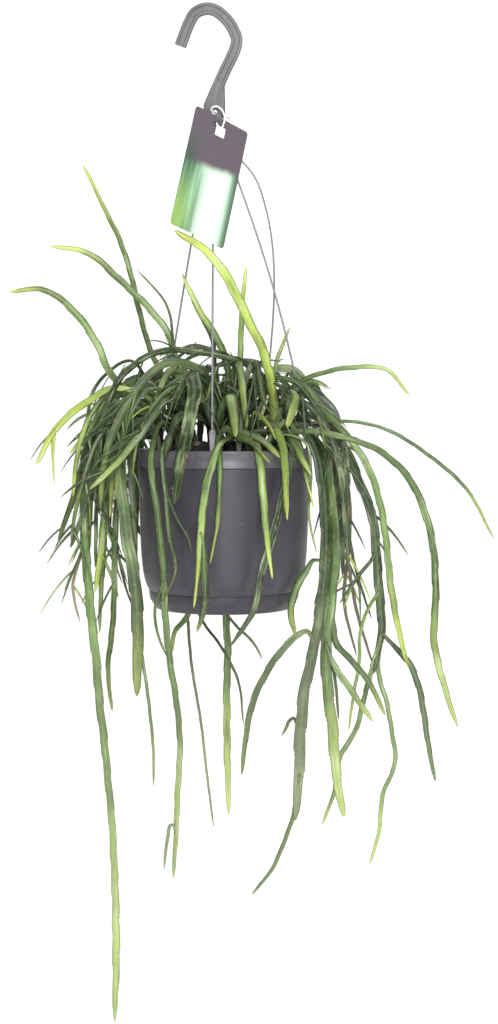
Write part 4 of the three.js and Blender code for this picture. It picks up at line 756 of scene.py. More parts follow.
class Finish:
    """A material of this object, built of nodes."""

    def __init__(self, name):
        self.material = bpy.data.materials.new(name)
        self.material.use_nodes = True
        self.tree = self.material.node_tree
        self.surface = self.tree.nodes["Principled BSDF"].inputs
        self.where = self.node("ShaderNodeTexCoord", output="Object")

    def node(self, kind, *values, output=0, **named):
        """Any node: its type, the values or links of its sockets in order or by name, and its settings."""
        node = self.tree.nodes.new(kind)
        sockets = [key for key in named if key in node.inputs]
        for key, value in named.items():
            if key not in sockets:
                setattr(node, key, value)
        for socket, value in zip([socket for socket in node.inputs if socket.enabled], values):
            self.feed(socket, value)
        for key in sockets:
            self.feed(node.inputs[key], named[key])
        if isinstance(output, str):
            return Value(self, node.outputs[output])
        return Value(self, [socket for socket in node.outputs if socket.enabled][output])

    def feed(self, socket, value):
        if isinstance(value, Value):
            self.tree.links.new(value.socket, socket)
        elif isinstance(value, str):
            socket.default_value = light_of(value)
        else:
            socket.default_value = value

    def stretched(self, x, y, z, where=None):
        return self.node("ShaderNodeMapping", Vector=where or self.where, Scale=(x, y, z))

    def noise(self, scale, detail=2.0, roughness=0.5, where=None):
        sockets = {"Vector": where or self.where, "Scale": scale, "Detail": detail, "Roughness": roughness}
        return self.node("ShaderNodeTexNoise", output="Fac", **sockets)

    def axis(self, name, where=None):
        return self.node("ShaderNodeSeparateXYZ", where or self.where, output=name)

    def mix(self, share, low, high):
        """From the colour low, at 0, to the colour high, at 1."""
        return self.node("ShaderNodeMix", share, low, high, data_type="RGBA")

    def laid(self, colour, *coats):
        """A colour with others laid over it in turn, each by its share."""
        for share, coat in coats:
            colour = self.mix(share, colour, coat)
        return colour

    def attribute(self, name):
        return self.node("ShaderNodeAttribute", attribute_name=name, output="Fac")

    def look(self, colour, roughness, height=None, depth=0.0002, strength=0.3):
        self.feed(self.surface["Base Color"], colour)
        self.feed(self.surface["Roughness"], roughness)
        if height:
            bump = self.node("ShaderNodeBump", Strength=strength, Distance=depth, Height=height)
            self.feed(self.surface["Normal"], bump)
        return self.material


def light_of(code):
    """A colour from its six-digit code, in linear light."""
    shares = [int(code[k : k + 2], 16) / 255 for k in (0, 2, 4)]
    return *[((c + 0.055) / 1.055) ** 2.4 if c > 0.04045 else c / 12.92 for c in shares], 1.0


def moulded(name, dark, light, roughness, collar=None):
    """Moulded plastic: a cloudy tone, a fine grain, a gloss that wears unevenly, and a lighter collar that
    is partly dust and partly a painted highlight.
    """
    finish = Finish(name)
    cloud = finish.noise(14, 3)
    flow = finish.noise(1, 2, where=finish.stretched(55, 55, 4))
    scuffs = finish.noise(130, 3, 0.7, finish.stretched(1, 1, 5))
    colour = finish.mix((cloud * 0.6 + flow * 0.4).rise(0.3, 0.7), dark, light)
    colour = finish.mix(scuffs.rise(0.66, 0.8) * 0.2, colour, "b0aeb2")
    # The collar is lighter from its lower edge up: partly dust, partly a painted highlight.
    if collar:
        edge = (POT_AT[2] - COLLAR_H) * MM
        dust_and_highlight = finish.axis("Z").rise(edge, edge + 0.001) * (0.6 + 0.6 * cloud)
        colour = finish.mix(dust_and_highlight, colour, collar)
    gloss = roughness - 0.05 + 0.1 * cloud + 0.1 * scuffs.rise(0.5, 0.75)
    return finish.look(colour, gloss, finish.noise(900, 2), 0.0002, 0.15)


def stem_finish():
    """Living green, yellower to the tip, with a midrib, pale notches, streaks and fine flecks; painted sheen
    on the pale streaks and the midrib, painted shade in the crown, at the roots and on the edges, and
    painted light on the stems hanging low.
    """
    finish = Finish("stem_green")
    names = ("along", "across", "tone", "notch", "reach", "old")
    along, across, tone, notch, reach, aged = (finish.attribute(name) for name in names)
    across = abs(across)
    patch = finish.noise(26, 2)
    mottle = finish.noise(190, 3, 0.6)
    # Long streaks along each stem: the pale ones are painted sheen, the dark ones vary the tone.
    cell = finish.node("ShaderNodeCombineXYZ", reach * 26, across * 0.8, tone * 31)
    streak_and_sheen = finish.noise(1, 3, 0.55, cell)
    young = (along + patch * 0.3 - 0.15).rise(0.65, 1.0) * tone.rise(0.1, 0.55)
    old = (along + patch * 0.4 - 0.2).rise(0.35, 0.9) * aged
    # Painted shade: darker inside the crown, near the pot's axis just above the soil.
    flat = finish.stretched(1, 1, 0)
    pot_axis = (POT_AT[0] * MM, 0, 0)
    apart = finish.node("ShaderNodeVectorMath", flat, pot_axis, operation="DISTANCE", output="Value")
    height = finish.axis("Z")
    deep = (1 - apart.rise(0.03, 0.11)) * (1 - height.rise(-0.375, -0.29))
    green = finish.laid(
        finish.mix((tone + patch * 0.6 - 0.3).rise(0.0, 0.8), "182711", "7a9a50"),
        ((tone + patch * 0.3 - 0.15).rise(0.62, 1.0), "b4c85a"),
        (young * 0.9, "c8d562"),
        (old * 0.85, "6f7264"),
        # painted sheen: pale streaks along the blades
        (streak_and_sheen.rise(0.52, 0.74) * 0.6, "c9dba6"),
        ((1 - streak_and_sheen).rise(0.48, 0.68) * 0.7, "1f3217"),
        # painted shade: darker and duller near the root, where the stems crowd
        ((1 - along.rise(0.0, 0.14)) * 0.5, "59623a"),
        # paler along the midrib: partly the midrib's own colour, partly painted sheen
        ((1 - across.rise(0.05, 0.3)) * 0.2, "93ad78"),
        (mottle.rise(0.5, 0.75) * 0.3, "91a877"),
        ((1 - mottle).rise(0.55, 0.8) * 0.4, "233519"),
        # darker towards the edges: partly darker margins, partly painted shade where the blade curves away
        (across.rise(0.55, 1.0) * 0.6, "28391b"),
        (notch * 0.7, "8a7a55"),
        # painted shade inside the crown
        (deep * 0.85, "121a0c"),
        # painted light: stems hanging below the pot are paler
        ((1 - height.rise(-0.78, -0.48)) * 0.3, "c0d39a"),
    )
    bark = finish.mix((tone - 1.0).rise(0.1, 1.0), "474233", "ddd3ac")
    bark = finish.mix(finish.noise(90, 3) * 0.5, bark, "756c58")
    colour = finish.mix((tone - 1.0).rise(0.0, 0.15), green, bark)
    ridge = mottle + (1 - across.rise(0.0, 0.2)) * 0.5
    return finish.look(colour, 0.28 + 0.2 * patch + 0.1 * mottle, ridge, 0.0005, 0.4)


def soil_finish():
    finish = Finish("soil")
    lumps = finish.noise(170, 6, 0.7)
    fibres = finish.noise(260, 4, where=finish.stretched(4, 1, 1))
    # Near black: the peat's own dark brown, darkened further as painted shade under the stems.
    earth = finish.laid(
        finish.mix(lumps.rise(0.35, 0.7), "0b0908", "1d1612"),
        (fibres.rise(0.62, 0.75) * 0.4, "4d3b28"),
        (finish.attribute("pale"), finish.mix(lumps, "a89f8e", "e6e1d6")),
    )
    return finish.look(earth, 0.85 + 0.15 * lumps, lumps, 0.002, 0.8)


def tag_finish():
    """Printed card: a plain dark head above soft upright streaks of green."""
    finish = Finish("tag_card")
    print_at = finish.node("ShaderNodeTexCoord", output="UV")
    across, down = (finish.axis(name, print_at) for name in "XY")
    broad = finish.noise(1.4, 1, where=finish.stretched(3.2, 0.7, 1, print_at))
    fine = finish.noise(1, 3, where=finish.stretched(22, 1.3, 1, print_at))
    streaks = (broad * 0.8 + fine * 0.4 + across * 0.25 - 0.3).rise(0.2, 0.6)
    green = finish.laid(
        finish.mix(streaks, "47694d", "a4d2ab"),
        (across.rise(0.25, 0.5) * (1 - across.rise(0.78, 0.98)) * (0.7 + 0.4 * fine), "dcf3de"),
        ((1 - across.rise(0.05, 0.4)) * down.rise(0.45, 0.9) * 0.75, "93b65a"),
        (across.rise(0.84, 0.97) * 0.8, "3a483f"),
    )
    head = finish.mix((1 - across.rise(0.0, 0.35)) * down.rise(0.1, 0.5) * 0.8, "625960", "3b5848")
    border = (down + across * 0.06 + broad * 0.05).rise(0.44, 0.52)
    gloss = 0.36 + 0.1 * finish.noise(150, 2)
    return finish.look(finish.mix(border, head, green), gloss, finish.noise(700, 2), 0.0001, 0.2)


# Modelling steps


def pick(*objects):
    bpy.ops.object.select_all(action="DESELECT")
    for obj in objects:
        obj.select_set(True)
    if objects:
        bpy.context.view_layer.objects.active = objects[0]


def added(kind, scale=(1, 1, 1), **settings):
    """A new mesh by one of Blender's add operators, with its place, turn and scale in its points."""
    pick()
    getattr(bpy.ops.mesh, f"primitive_{kind}_add")(**settings)
    bpy.context.object.scale = scale
    bpy.ops.object.transform_apply()
    return bpy.context.object


def rod(r, height, place, sides, turn=(0, 0, 0)):
    return added("cylinder", radius=r, depth=height, location=place, vertices=sides, rotation=turn)


def shaping(obj):
    """Starts edit mode with everything selected."""
    pick(obj)
    bpy.ops.object.mode_set(mode="EDIT")
    bpy.ops.mesh.select_all(action="SELECT")


def extrude(*move):
    bpy.ops.mesh.extrude_region_move(TRANSFORM_OT_translate={"value": move})


def widen(grow_by, centre=(0, 0, 0)):
    bpy.ops.transform.resize(value=(grow_by, grow_by, 1), center_override=centre)


def done(outward=False):
    """Ends edit mode, with every face turned outward if asked."""
    if outward:
        bpy.ops.mesh.select_all(action="SELECT")
        bpy.ops.mesh.normals_make_consistent(inside=False)
    bpy.ops.object.mode_set(mode="OBJECT")
    return bpy.context.object


def join(objects):
    if len(objects) > 1:
        pick(*objects)
        bpy.ops.object.join()
    return objects[0]


def linked(obj):
    bpy.context.scene.collection.objects.link(obj)
    return obj


def copy_of(obj):
    twin = obj.copy()
    twin.data = obj.data.copy()
    return linked(twin)


def apply(obj, kind, **settings):
    pick(obj)
    modifier = obj.modifiers.new("shape", kind)
    for key, value in settings.items():
        setattr(modifier, key, value)
    bpy.ops.object.modifier_apply(modifier=modifier.name)
    return obj


def combined(operation, obj, *tools):
    for tool in tools:
        apply(obj, "BOOLEAN", object=tool, operation=operation, solver="EXACT")
        bpy.data.objects.remove(tool)
    return obj


def coords(obj):
    points = np.empty(3 * len(obj.data.vertices))
    obj.data.vertices.foreach_get("co", points)
    return points.reshape(-1, 3)


def set_coords(obj, points):
    obj.data.vertices.foreach_set("co", np.asarray(points, float).ravel())
    obj.data.update()


def mark(obj, **values):
    """Writes numbers on a mesh's points for its material: one for all, or one each."""
    for name, value in values.items():
        layer = obj.data.attributes.get(name) or obj.data.attributes.new(name, "FLOAT", "POINT")
        layer.data.foreach_set("value", np.broadcast_to(value, len(obj.data.vertices)).astype(float))


def read(obj, name):
    values = np.empty(len(obj.data.vertices))
    obj.data.attributes[name].data.foreach_get("value", values)
    return values


def smooth(obj, degrees=35):
    pick(obj)
    bpy.ops.object.shade_smooth_by_angle(angle=math.radians(degrees))
    return obj


def stand_in(obj, node, material):
    """Lets a finished piece stand for a solid: the piece takes the given finish as its one material, and the
    solid is hidden.
    """
    obj.name = obj.data.name = node + "_look"
    obj.data.materials.clear()
    obj.data.materials.append(material)
    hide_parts(node)
    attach(obj, "root")


def turned(outline, sides, x=POT_AT[0], base=POT_AT[2]):
    """Raises a ring step by step along an outline of radius and height in mm, and closes both ends."""
    (r, z), *others = outline
    centre = (x * MM, 0, (base + z) * MM)
    shaping(added("circle", vertices=sides, radius=r * MM, location=centre))
    bpy.ops.mesh.edge_face_add()
    bpy.ops.mesh.select_all(action="SELECT")
    for next_r, next_z in others:
        extrude(0, 0, (next_z - z) * MM)
        widen(next_r / r, centre)
        r, z = next_r, next_z
    return done(outward=True)


def ring_of(section, fill="NOTHING"):
    """A closed section of X and Z, as a ring or a face at Y 0, in edit mode."""
    ring = added("circle", vertices=len(section), fill_type=fill)
    across, up = np.array(section).T
    set_coords(ring, np.stack([across, 0 * across, up], axis=1))
    shaping(ring)


def bar(section, steps):
    """A straight bar, 1 long along Y, of a closed section."""
    ring_of(section, "NGON")
    for _ in range(steps):
        extrude(0, 1 / steps, 0)
    return done(outward=True)


def round_section(r, sides):
    turns = [2 * math.pi * k / sides for k in range(sides)]
    return [(r * math.cos(a), r * math.sin(a)) for a in turns]


def bent(obj, line, side):
    """Bends a bar along a line: its X follows side, its Z what is square to both."""
    points = coords(obj)
    far = lengths(line)
    runs = units(np.gradient(line, far, axis=0))
    sides = carried(np.array(side, float), runs)
    spot, run, across = (at_lengths(rows, far, points[:, 1] * far[-1]) for rows in (line, runs, sides))
    out = np.cross(run, across)
    set_coords(obj, spot + across * points[:, :1] + out * points[:, 2:])
    return obj


# Pot, saucer and soil


def pot_side(t):
    """The pot's outer wall, from the neck at 0 to the saucer at 1."""
    weights = np.array([(1 - t) ** 3, 3 * t * (1 - t) ** 2, 3 * t**2 * (1 - t), t**3])
    return weights @ np.array([(BODY_R, -COLLAR_H - GAP), *BODY_LINE])


def clip_box(clip, x_mm, y_mm, z_mm, z):
    """A box at one of the four clips, its X pointing out from the pot's axis."""
    place = at_pot(PEG_RING * heading(clip) + np.array([0, 0, z]))
    size = (x_mm * MM, y_mm * MM, z_mm * MM)
    return added("cube", size, size=1, location=place, rotation=(0, 0, math.radians(clip)))


def make_pot(material):
    wall = [pot_side(k / 14) for k in range(15)]
    outside = [(FOOT_R, FOOT_Z), (FOOT_R + 0.8, FOOT_Z + 0.5), (62, -124.2), (63, -123.2), *wall[::-1]]
    neck = [(72.4, -14.3), (NECK_R, -14.1), (NECK_R, -2), (73.2, -2.2), (73.4, -3)]
    collar = [(73.4, 0.8 - COLLAR_H), (73.6, -COLLAR_H), (74.7, -COLLAR_H), (RIM_R, 0.4 - COLLAR_H)]
    rim = [(RIM_R, 2.2 - COLLAR_H), (74.8, 2.6 - COLLAR_H), (73.8, -2.4), (74, -2), (74, -0.7), (73.7, -0.2)]
    lip = [(73.2, 0), (68.9, 0), (68.4, -0.2), (68.2, -0.8), (NECK_R - WALL, -16.8)]
    inside = [(r - WALL, z) for r, z in wall[1:]] + [(FOOT_R - WALL, FOOT_Z + 1.6), (50, FOOT_Z + WALL)]
    pot = turned([*outside, *neck, *collar, *rim, *lip, *inside], ROUND)
    cuts = [clip_box(clip, 2.2, 5.6, 8, -1) for clip, *_ in STRANDS.values()]
    for k in range(DRAINS):
        place = at_pot(DRAIN_RING * heading(360 / DRAINS * k) + np.array([0, 0, FOOT_Z + 1]))
        cuts.append(rod(DRAIN_R * MM, 0.01, place, 24))
    stand_in(smooth(combined("DIFFERENCE", pot, *cuts)), "pot", material)


def make_saucer(material):
    top, r = SAUCER_TOP, SAUCER_R
    foot = [(r - 7.2, SAUCER_BASE), (r - 6.2, SAUCER_BASE + 0.2), (r - 5.6, SAUCER_BASE + 0.8)]
    outside = [(r - 1.2, top - 7), (r - 0.6, top - 5.5), (r, top - 0.8), (r, top + 0.9)]
    lip = [(r - 0.2, top + 1), (r - 0.7, top + 0.3), (r - 1.1, top - 0.1), (r - 1.4, top - 0.5)]
    inside = [(r - 2.4, top - 7), (r - 7.6, FOOT_Z - 0.2), (r - 9, FOOT_Z - GAP)]
    stand_in(smooth(turned([*foot, *outside, *lip, *inside], ROUND)), "saucer", material)


def crumbs(count, seed, size, pale):
    """Seeded grains on the soil, each a small rough stone of 20 faces."""
    grain = added("ico_sphere", subdivisions=1, radius=1)
    shape = coords(grain)
    pull = drawer(seed)
    grains = []
    for _ in range(count):
        r, angle = (NECK_R - 4) * math.sqrt(pull()), 2 * math.pi * pull()
        scale = size * (0.5 + pull()) * np.array([1, 0.6 + 0.5 * pull(), 0.4 + 0.4 * pull()])
        rough = np.array([0.75 + 0.5 * pull() for _ in shape])[:, None]
        c, s = math.cos(angle * 5), math.sin(angle * 5)
        place = np.array([r * math.cos(angle), r * math.sin(angle), soil_top(r) + 0.2 * size])
        points = shape * rough * scale @ np.array([[c, s, 0], [-s, c, 0], [0, 0, 1]])
        twin = copy_of(grain)
        set_coords(twin, at_pot(points + place))
        mark(twin, pale=pale)
        grains.append(twin)
    bpy.data.objects.remove(grain)
    return join(grains)


def make_soil(material):
    wall = [pot_side(k / 6) - np.array([WALL + GAP, 0]) for k in range(6, 0, -1)]
    body = [(50, -132.8), (51, -132.7), *wall, (67.9, -17.4), (67.9, SOIL_EDGE_Z)]
    dome = [(r, soil_top(r)) for r in range(66, 0, -2)]
    soil = turned([*body, *dome], 150)
    points = coords(soil)
    low = POT_AT[2] * MM + (SOIL_EDGE_Z - 1) * MM
    for k in np.flatnonzero(points[:, 2] > low):
        r = math.hypot(points[k, 0] - POT_AT[0] * MM, points[k, 1]) / MM
        bumps = noise.fractal(Vector(points[k] * 110), 0.8, 2.1, 5)
        points[k, 2] += 1.7 * MM * bumps * min(1, (68 - r) / 4)
    set_coords(soil, points)
    mark(soil, pale=0)
    soil = join([soil, crumbs(420, 5, 1.7, 0), crumbs(46, 9, 1.4, 1)])
    stand_in(smooth(soil, 60), "soil", material)


# Hook, strands, tag and tie


def hook_section():
    """An H, depth by width: a web between two flanges, its grooves on the front and the back."""
    flange = [(3.0, 4.5), (2.5, 5.0), (-2.5, 5.0), (-3.0, 4.5)]
    groove = [(-3.0, 2.6), (-2.4, 2.0), (-2.4, -2.0), (-3.0, -2.6)]
    half = [(depth * MM, width * MM) for depth, width in flange + groove]
    return half + [(-depth, -width) for depth, width in half]


def make_hook(material):
    line = smooth_line([np.array([x, 0.0, z]) for x, z in numbers_of(HOOK_LINE)], 10) * MM
    shank = bent(bar(hook_section(), 120), line, (0, 1, 0))
    shaping(shank)
    done(outward=True)
    foot = [(7, CAP_BASE), (7.7, CAP_BASE + 0.2), (8.2, CAP_BASE + 0.8), (8.2, -98)]
    cap = turned([*foot, (7.6, -96.9), (5, -96.2), (3, -96)], 48, HEAD_X, 0)
    hook = combined("UNION", shank, head_plate(), cap)
    cuts = [rod(HEAD_EYE_R * MM, 0.02, (HEAD_X * MM, 0, HEAD_EYE_Z * MM), 28, (math.pi / 2, 0, 0))]
    for clip, *_ in STRANDS.values():
        place = (np.array([HEAD_X, 0, CAP_BASE + 2]) + SOCKET_RING * heading(clip)) * MM
        cuts.append(rod(SOCKET_R * MM, 8 * MM, place, 16))
    stand_in(smooth(combined("DIFFERENCE", hook, *cuts), 32), "hook", material)


def head_plate():
    """The hook's foot: the shank's left side runs on into it and its right side drops straight down."""
    left, right, top, base = HEAD_X - HEAD_HALF, HEAD_X + HEAD_HALF, -61, -97
    corners = [(left + 3, base), (right - 3, base), (right, base + 3), (right - 0.7, top)]
    corners += [(HEAD_X + 1, top + 6), (left + 7.6, top), (left, top - 18), (left, base + 3)]
    plate = added("circle", vertices=len(corners), fill_type="NGON")
    set_coords(plate, [(x * MM, 2.7 * MM, z * MM) for x, z in corners])
    shaping(plate)
    extrude(0, -5.4 * MM, 0)
    done(outward=True)
    return apply(plate, "BEVEL", width=0.8 * MM, segments=3, limit_method="ANGLE", angle_limit=0.4)


def make_strand(node, material):
    """A round plastic strand with a bead and a flat tongue that goes through the rim."""
    clip = STRANDS[node][0]
    points = strand_line(*STRANDS[node])
    cord = bent(bar(round_section(STRAND_R * MM, 12), 60), at_pot(smooth_line(points, 6)), (0, 1, 0))
    plug = rod(PLUG_R * MM, 7.6 * MM, at_pot(points[0] + np.array([0, 0, 3.2])), 12)
    ball = {"segments": 20, "ring_count": 12, "radius": BEAD_R * MM}
    bead = added("uv_sphere", location=at_pot(points[-1]), **ball)
    peg = clip_box(clip, PEG_THICK, PEG_W, BEAD_Z + PEG_DEEP, (BEAD_Z - PEG_DEEP) / 2)
    points = coords(peg)
    square = heading(clip + 90)
    aside = (points - at_pot([0, 0, 0])) @ square
    low = points[:, 2] < at_pot([0, 0, -8])[2]
    set_coords(peg, points - np.outer(aside * low * 0.45, square))
    apply(peg, "BEVEL", width=0.35 * MM, segments=2)
    stand_in(smooth(combined("UNION", cord, plug, bead, peg)), node, material)


def make_tag(material):
    """A printed card with rounded corners, a punched hole and a slight curl."""
    tag = added("plane", (TAG_W, TAG_H, 1), size=1, location=(TAG_W / 2, TAG_H / 2, 0))
    shaping(tag)
    bpy.ops.mesh.bevel(offset=TAG_ROUND, segments=6, affect="VERTICES")
    lines = [((0, TAG_H * k / 16, 0), (0, 1, 0)) for k in range(1, 16)]
    lines += [((TAG_W * k / 8, 0, 0), (1, 0, 0)) for k in range(1, 8)]
    for place, way in lines:
        bpy.ops.mesh.select_all(action="SELECT")
        bpy.ops.mesh.bisect(plane_co=place, plane_no=way)
    done()
    apply(tag, "SOLIDIFY", thickness=TAG_THICK, offset=0)
    combined("DIFFERENCE", tag, rod(TAG_HOLE_R, 4, (*TAG_HOLE, 0), 28))
    flat = coords(tag)
    prints = tag.data.uv_layers.get("UVMap") or tag.data.uv_layers.new(name="UVMap")
    corners = np.empty(len(tag.data.loops), int)
    tag.data.loops.foreach_get("vertex_index", corners)
    shares = flat[corners, :2] / (TAG_W, TAG_H)
    prints.data.foreach_set("uv", shares.ravel())
    u, v, n = flat.T
    curl = 0.9 * (v / TAG_H) ** 2 * np.sin(math.pi * u / TAG_W) - 0.6 * (u / TAG_W) * (v / TAG_H) ** 2
    set_coords(tag, at_pot(on_tag(u[:, None], v[:, None], (n + curl)[:, None])))
    shaping(tag)
    done(outward=True)
    stand_in(smooth(tag, 50), "plant_tag", material)


def make_tie(material):
    """A white loop through the tag's hole and the hook's eye, closed by a small square lock."""
    eye = np.array([HEAD_X, 0, HEAD_EYE_Z]) - POT_AT
    points = [on_tag(27.5, 13.4, 1.6), on_tag(28, 7.3, 3.4), *(eye + numbers_of(TIE_AT_EYE))]
    points += [on_tag(28, -0.6, -1.9), on_tag(24.2, 5, -1.6), on_tag(23, 6.8, 0.4), on_tag(24.6, 10.2, 2)]
    points.append(points[0])
    loop = bent(bar(round_section(TIE_R * MM, 12), 150), at_pot(smooth_line(points, 10)), (1, 0, 0))
    lock = added("cube", (LOCK, LOCK, LOCK_THICK), size=1)
    shaping(lock)
    bpy.ops.mesh.bevel(offset=0.5, segments=3)
    bpy.ops.mesh.select_all(action="DESELECT")
    mesh = bmesh.from_edit_mesh(lock.data)
    for face in mesh.faces:
        face.select_set(face.normal.z > 0.99)
    bmesh.update_edit_mesh(lock.data)
    bpy.ops.mesh.inset(thickness=1.4)
    bpy.ops.transform.translate(value=(0, 0, -0.35))
    done()
    flat = coords(lock)
    place = points[0] + np.outer(flat[:, 0], TAG_ACROSS) + np.outer(flat[:, 1], -TAG_DOWN)
    set_coords(lock, at_pot(place + np.outer(flat[:, 2], TAG_OUT)))
    stand_in(smooth(join([loop, lock])), "tag_tie", material)


# Stems


def edge_line(t):
    """How far an edge stands out, t from one notch to the next towards the tip."""
    return 1 - NOTCH_DEEP * np.where(t < 0.9, np.maximum(0, 1 - t / 0.9) ** 1.5, (t - 0.9) / 0.1)


def make_stretch():
    """One stretch of stem, modelled once: a fleshy strap with a midrib, a notch in each edge and its
    tuft of wool. It is 1 long, 1 to each side and 1 to each face."""
    upper = list(LENS) + [(-u, t) for u, t in LENS[-2::-1]]
    ring_of(upper + [(u, -t) for u, t in upper[-2:0:-1]])
    at = 0
    for ring in RINGS_AT:
        extrude(0, ring - at, 0)
        at = ring
    strap = done(outward=True)
    points = coords(strap)
    x, y = points[:, 0].copy(), points[:, 1]
    phase = np.where(x > 0, y, y + 0.5) % 1
    phase = np.where((x > 0) & (y > 0.999), 1.0, phase)
    reach = edge_line(phase)
    points[:, 0] = x * (1 + (reach - 1) * np.abs(x))
    set_coords(strap, points)
    cut_in = np.clip((1 - reach) / NOTCH_DEEP, 0, 1) ** 3
    mark(strap, across=x, notch=cut_in * np.clip(np.abs(x) * 2 - 1, 0, 1), tuft=0)
    pieces = [strap]
    for side, place in ((1, 0.02), (-1, 0.52)):
        tuft = added("ico_sphere", subdivisions=1, radius=1)
        set_coords(tuft, coords(tuft) * (0.1, 0.028, 0.42) + (side * (1 - NOTCH_DEEP * 0.85), place, 0))
        mark(tuft, across=side, notch=1.4, tuft=1)
        pieces.append(tuft)
    return join(pieces)


def strap_of(stretch, count):
    """Stretches end to end, closed at both ends."""
    row = {"use_relative_offset": False, "use_constant_offset": True, "use_merge_vertices": True}
    spacing = {"constant_offset_displace": (0, 1, 0), "merge_threshold": 0.001}
    strap = apply(copy_of(stretch), "ARRAY", count=count, **row, **spacing)
    shaping(strap)
    bpy.ops.mesh.select_all(action="DESELECT")
    others = ("extend", "use_wire", "use_multi_face", "use_non_contiguous", "use_verts")
    bpy.ops.mesh.select_non_manifold(**dict.fromkeys(others, False))
    bpy.ops.mesh.edge_face_add()
    return done()


def grow(stem, stretch, number):
    """Lays stretches end to end along a stem and shapes them: round base, flat blade, closed tip."""
    line = smooth_line(stem["spots"], LINE_STEPS)
    far = lengths(line)
    length = far[-1]
    places = np.arange(len(line)) / LINE_STEPS
    sides = at_lengths(stem["side"], np.arange(len(stem["spots"])), places)
    count = max(2, round(length / (13 + 4.4 * stem["half"])))
    blade = strap_of(stretch, count)
    points = coords(blade)
    across, tuft = read(blade, "across"), read(blade, "tuft")
    last = np.clip(points[:, 1] - (count - 1), 0, 1)
    share = points[:, 1] / count + (1 - (1 - last) ** 1.7 - last) / count
    s = np.clip(share, 0, 1) * length
    flat = opened(s, length)
    tip = min(9, 0.25 * length)
    close = np.sqrt(np.clip(1 - np.clip((s - length + tip) / tip, 0, 1) ** 2, 0.01, 1))
    half = half_width(stem["half"], stem["along"][-1], s) * close * FULLER
    thick = half_thick(s) * (0.3 + 0.7 * close)
    lens = np.interp(np.abs(across), *np.array(LENS[::-1]).T)
    ball = np.sqrt(np.clip(1 - across**2, 0, 1))
    fuller = np.where(lens > 0, ball / np.maximum(lens, 0.05), 1)
    round_up = 1 + (fuller - 1) * (1 - flat) * (1 - tuft)
    turn = number * 2.4
    wave = flat * (0.5 * np.sin(s / 23 + turn) + 0.3 * np.sin(s / 11 + 2 * turn))
    cup = 0.16 * half * across**2 * np.sin(s / 60 + turn) * flat
    twist = 0.22 * np.sin(s / 75 + turn) * flat
    runs = np.gradient(line, axis=0)
    spot, run, side = (at_lengths(rows, far, s) for rows in (line, runs, sides))
    run = units(run)
    side = units(side - run * dots(side, run)[:, None])
    out = np.cross(run, side)
    c, sn = np.cos(twist)[:, None], np.sin(twist)[:, None]
    side, out = side * c + out * sn, out * c - side * sn
    wide = (points[:, 0] * half + 0.35 * wave)[:, None]
    deep = (points[:, 2] * thick * round_up + wave + cup)[:, None]
    set_coords(blade, at_pot(spot + side * wide + out * deep))
    mark(blade, along=s / length, reach=s * MM, tone=stem["tone"], old=stem["name"] in OLD_STEMS)
    return blade


def make_shoot():
    """A young side shoot, modelled once: a thin flat bar that tapers, 1 long."""
    shoot = bar([(1, 0), (0.5, 0.7), (-0.5, 0.7), (-1, 0), (-0.5, -0.7), (0.5, -0.7)], 6)
    points = coords(shoot)
    across, along = points[:, 0].copy(), points[:, 1]
    taper = np.sqrt(1.02 - along**2.5)
    set_coords(shoot, points * np.stack([taper, along**0, taper], axis=1))
    mark(shoot, across=across, notch=0, tuft=0, along=0.2 + 0.6 * along, reach=0.05 * along, old=0)
    return shoot


def side_shoots(stem, shoot, pull):
    """Seeded young shoots along a stem where the plant is dense, each drooping clear of the pot."""
    grown = []
    spots = stem["spots"]
    for k in range(2, len(spots) - 1):
        for _ in range(5 if spots[k][2] > CROWN_FROM else 2):
            chance, share, turn, lean, long, thin = (pull() for _ in range(6))
            root = spots[k] + (spots[k + 1] - spots[k]) * share
            if chance > SHOOT_SHARE or not SHOOTS_FROM < root[2] < SHOOTS_TO:
                continue
            run = unit(spots[k + 1] - spots[k])
            aside = stem["side"][k] * (0.9 if turn > 0.5 else -0.9) + stem["out"][k] * (lean - 0.5)
            reach = 14 + 26 * long
            droop = np.array([0, 0, -0.45 * reach])
            steps = [(run * 0.8 + aside * 0.7) * reach * t + droop * t**2 for t in (0, 0.25, 0.5, 0.75, 1)]
            line = root + np.array(steps)
            far = np.hypot(line[:, 0], line[:, 1])
            if np.any((far < pot_reach(line[:, 2]) + 2) & (line[:, 2] < 6)):
                continue
            twin = copy_of(shoot)
            half = 0.7 + 0.8 * thin
            set_coords(twin, coords(twin) * (half * MM, 1, 0.5 * half * MM))
            bent(twin, at_pot(line), stem["side"][k])
            mark(twin, tone=min(0.95, stem["tone"] * (0.4 + turn)))
            grown.append(twin)
    return grown


def make_crown():
    """The woody foot that stems rise from, modelled once."""
    crown = added("circle", vertices=14, radius=STUB_R * MM, fill_type="NGON")
    shaping(crown)
    for lift, grow_by in CROWN_STEPS:
        extrude(0, 0, lift * MM)
        widen(grow_by)
    done(outward=True)
    mark(crown, across=0.5, notch=0, tuft=0, along=0, reach=0, tone=1.2, old=0)
    return crown


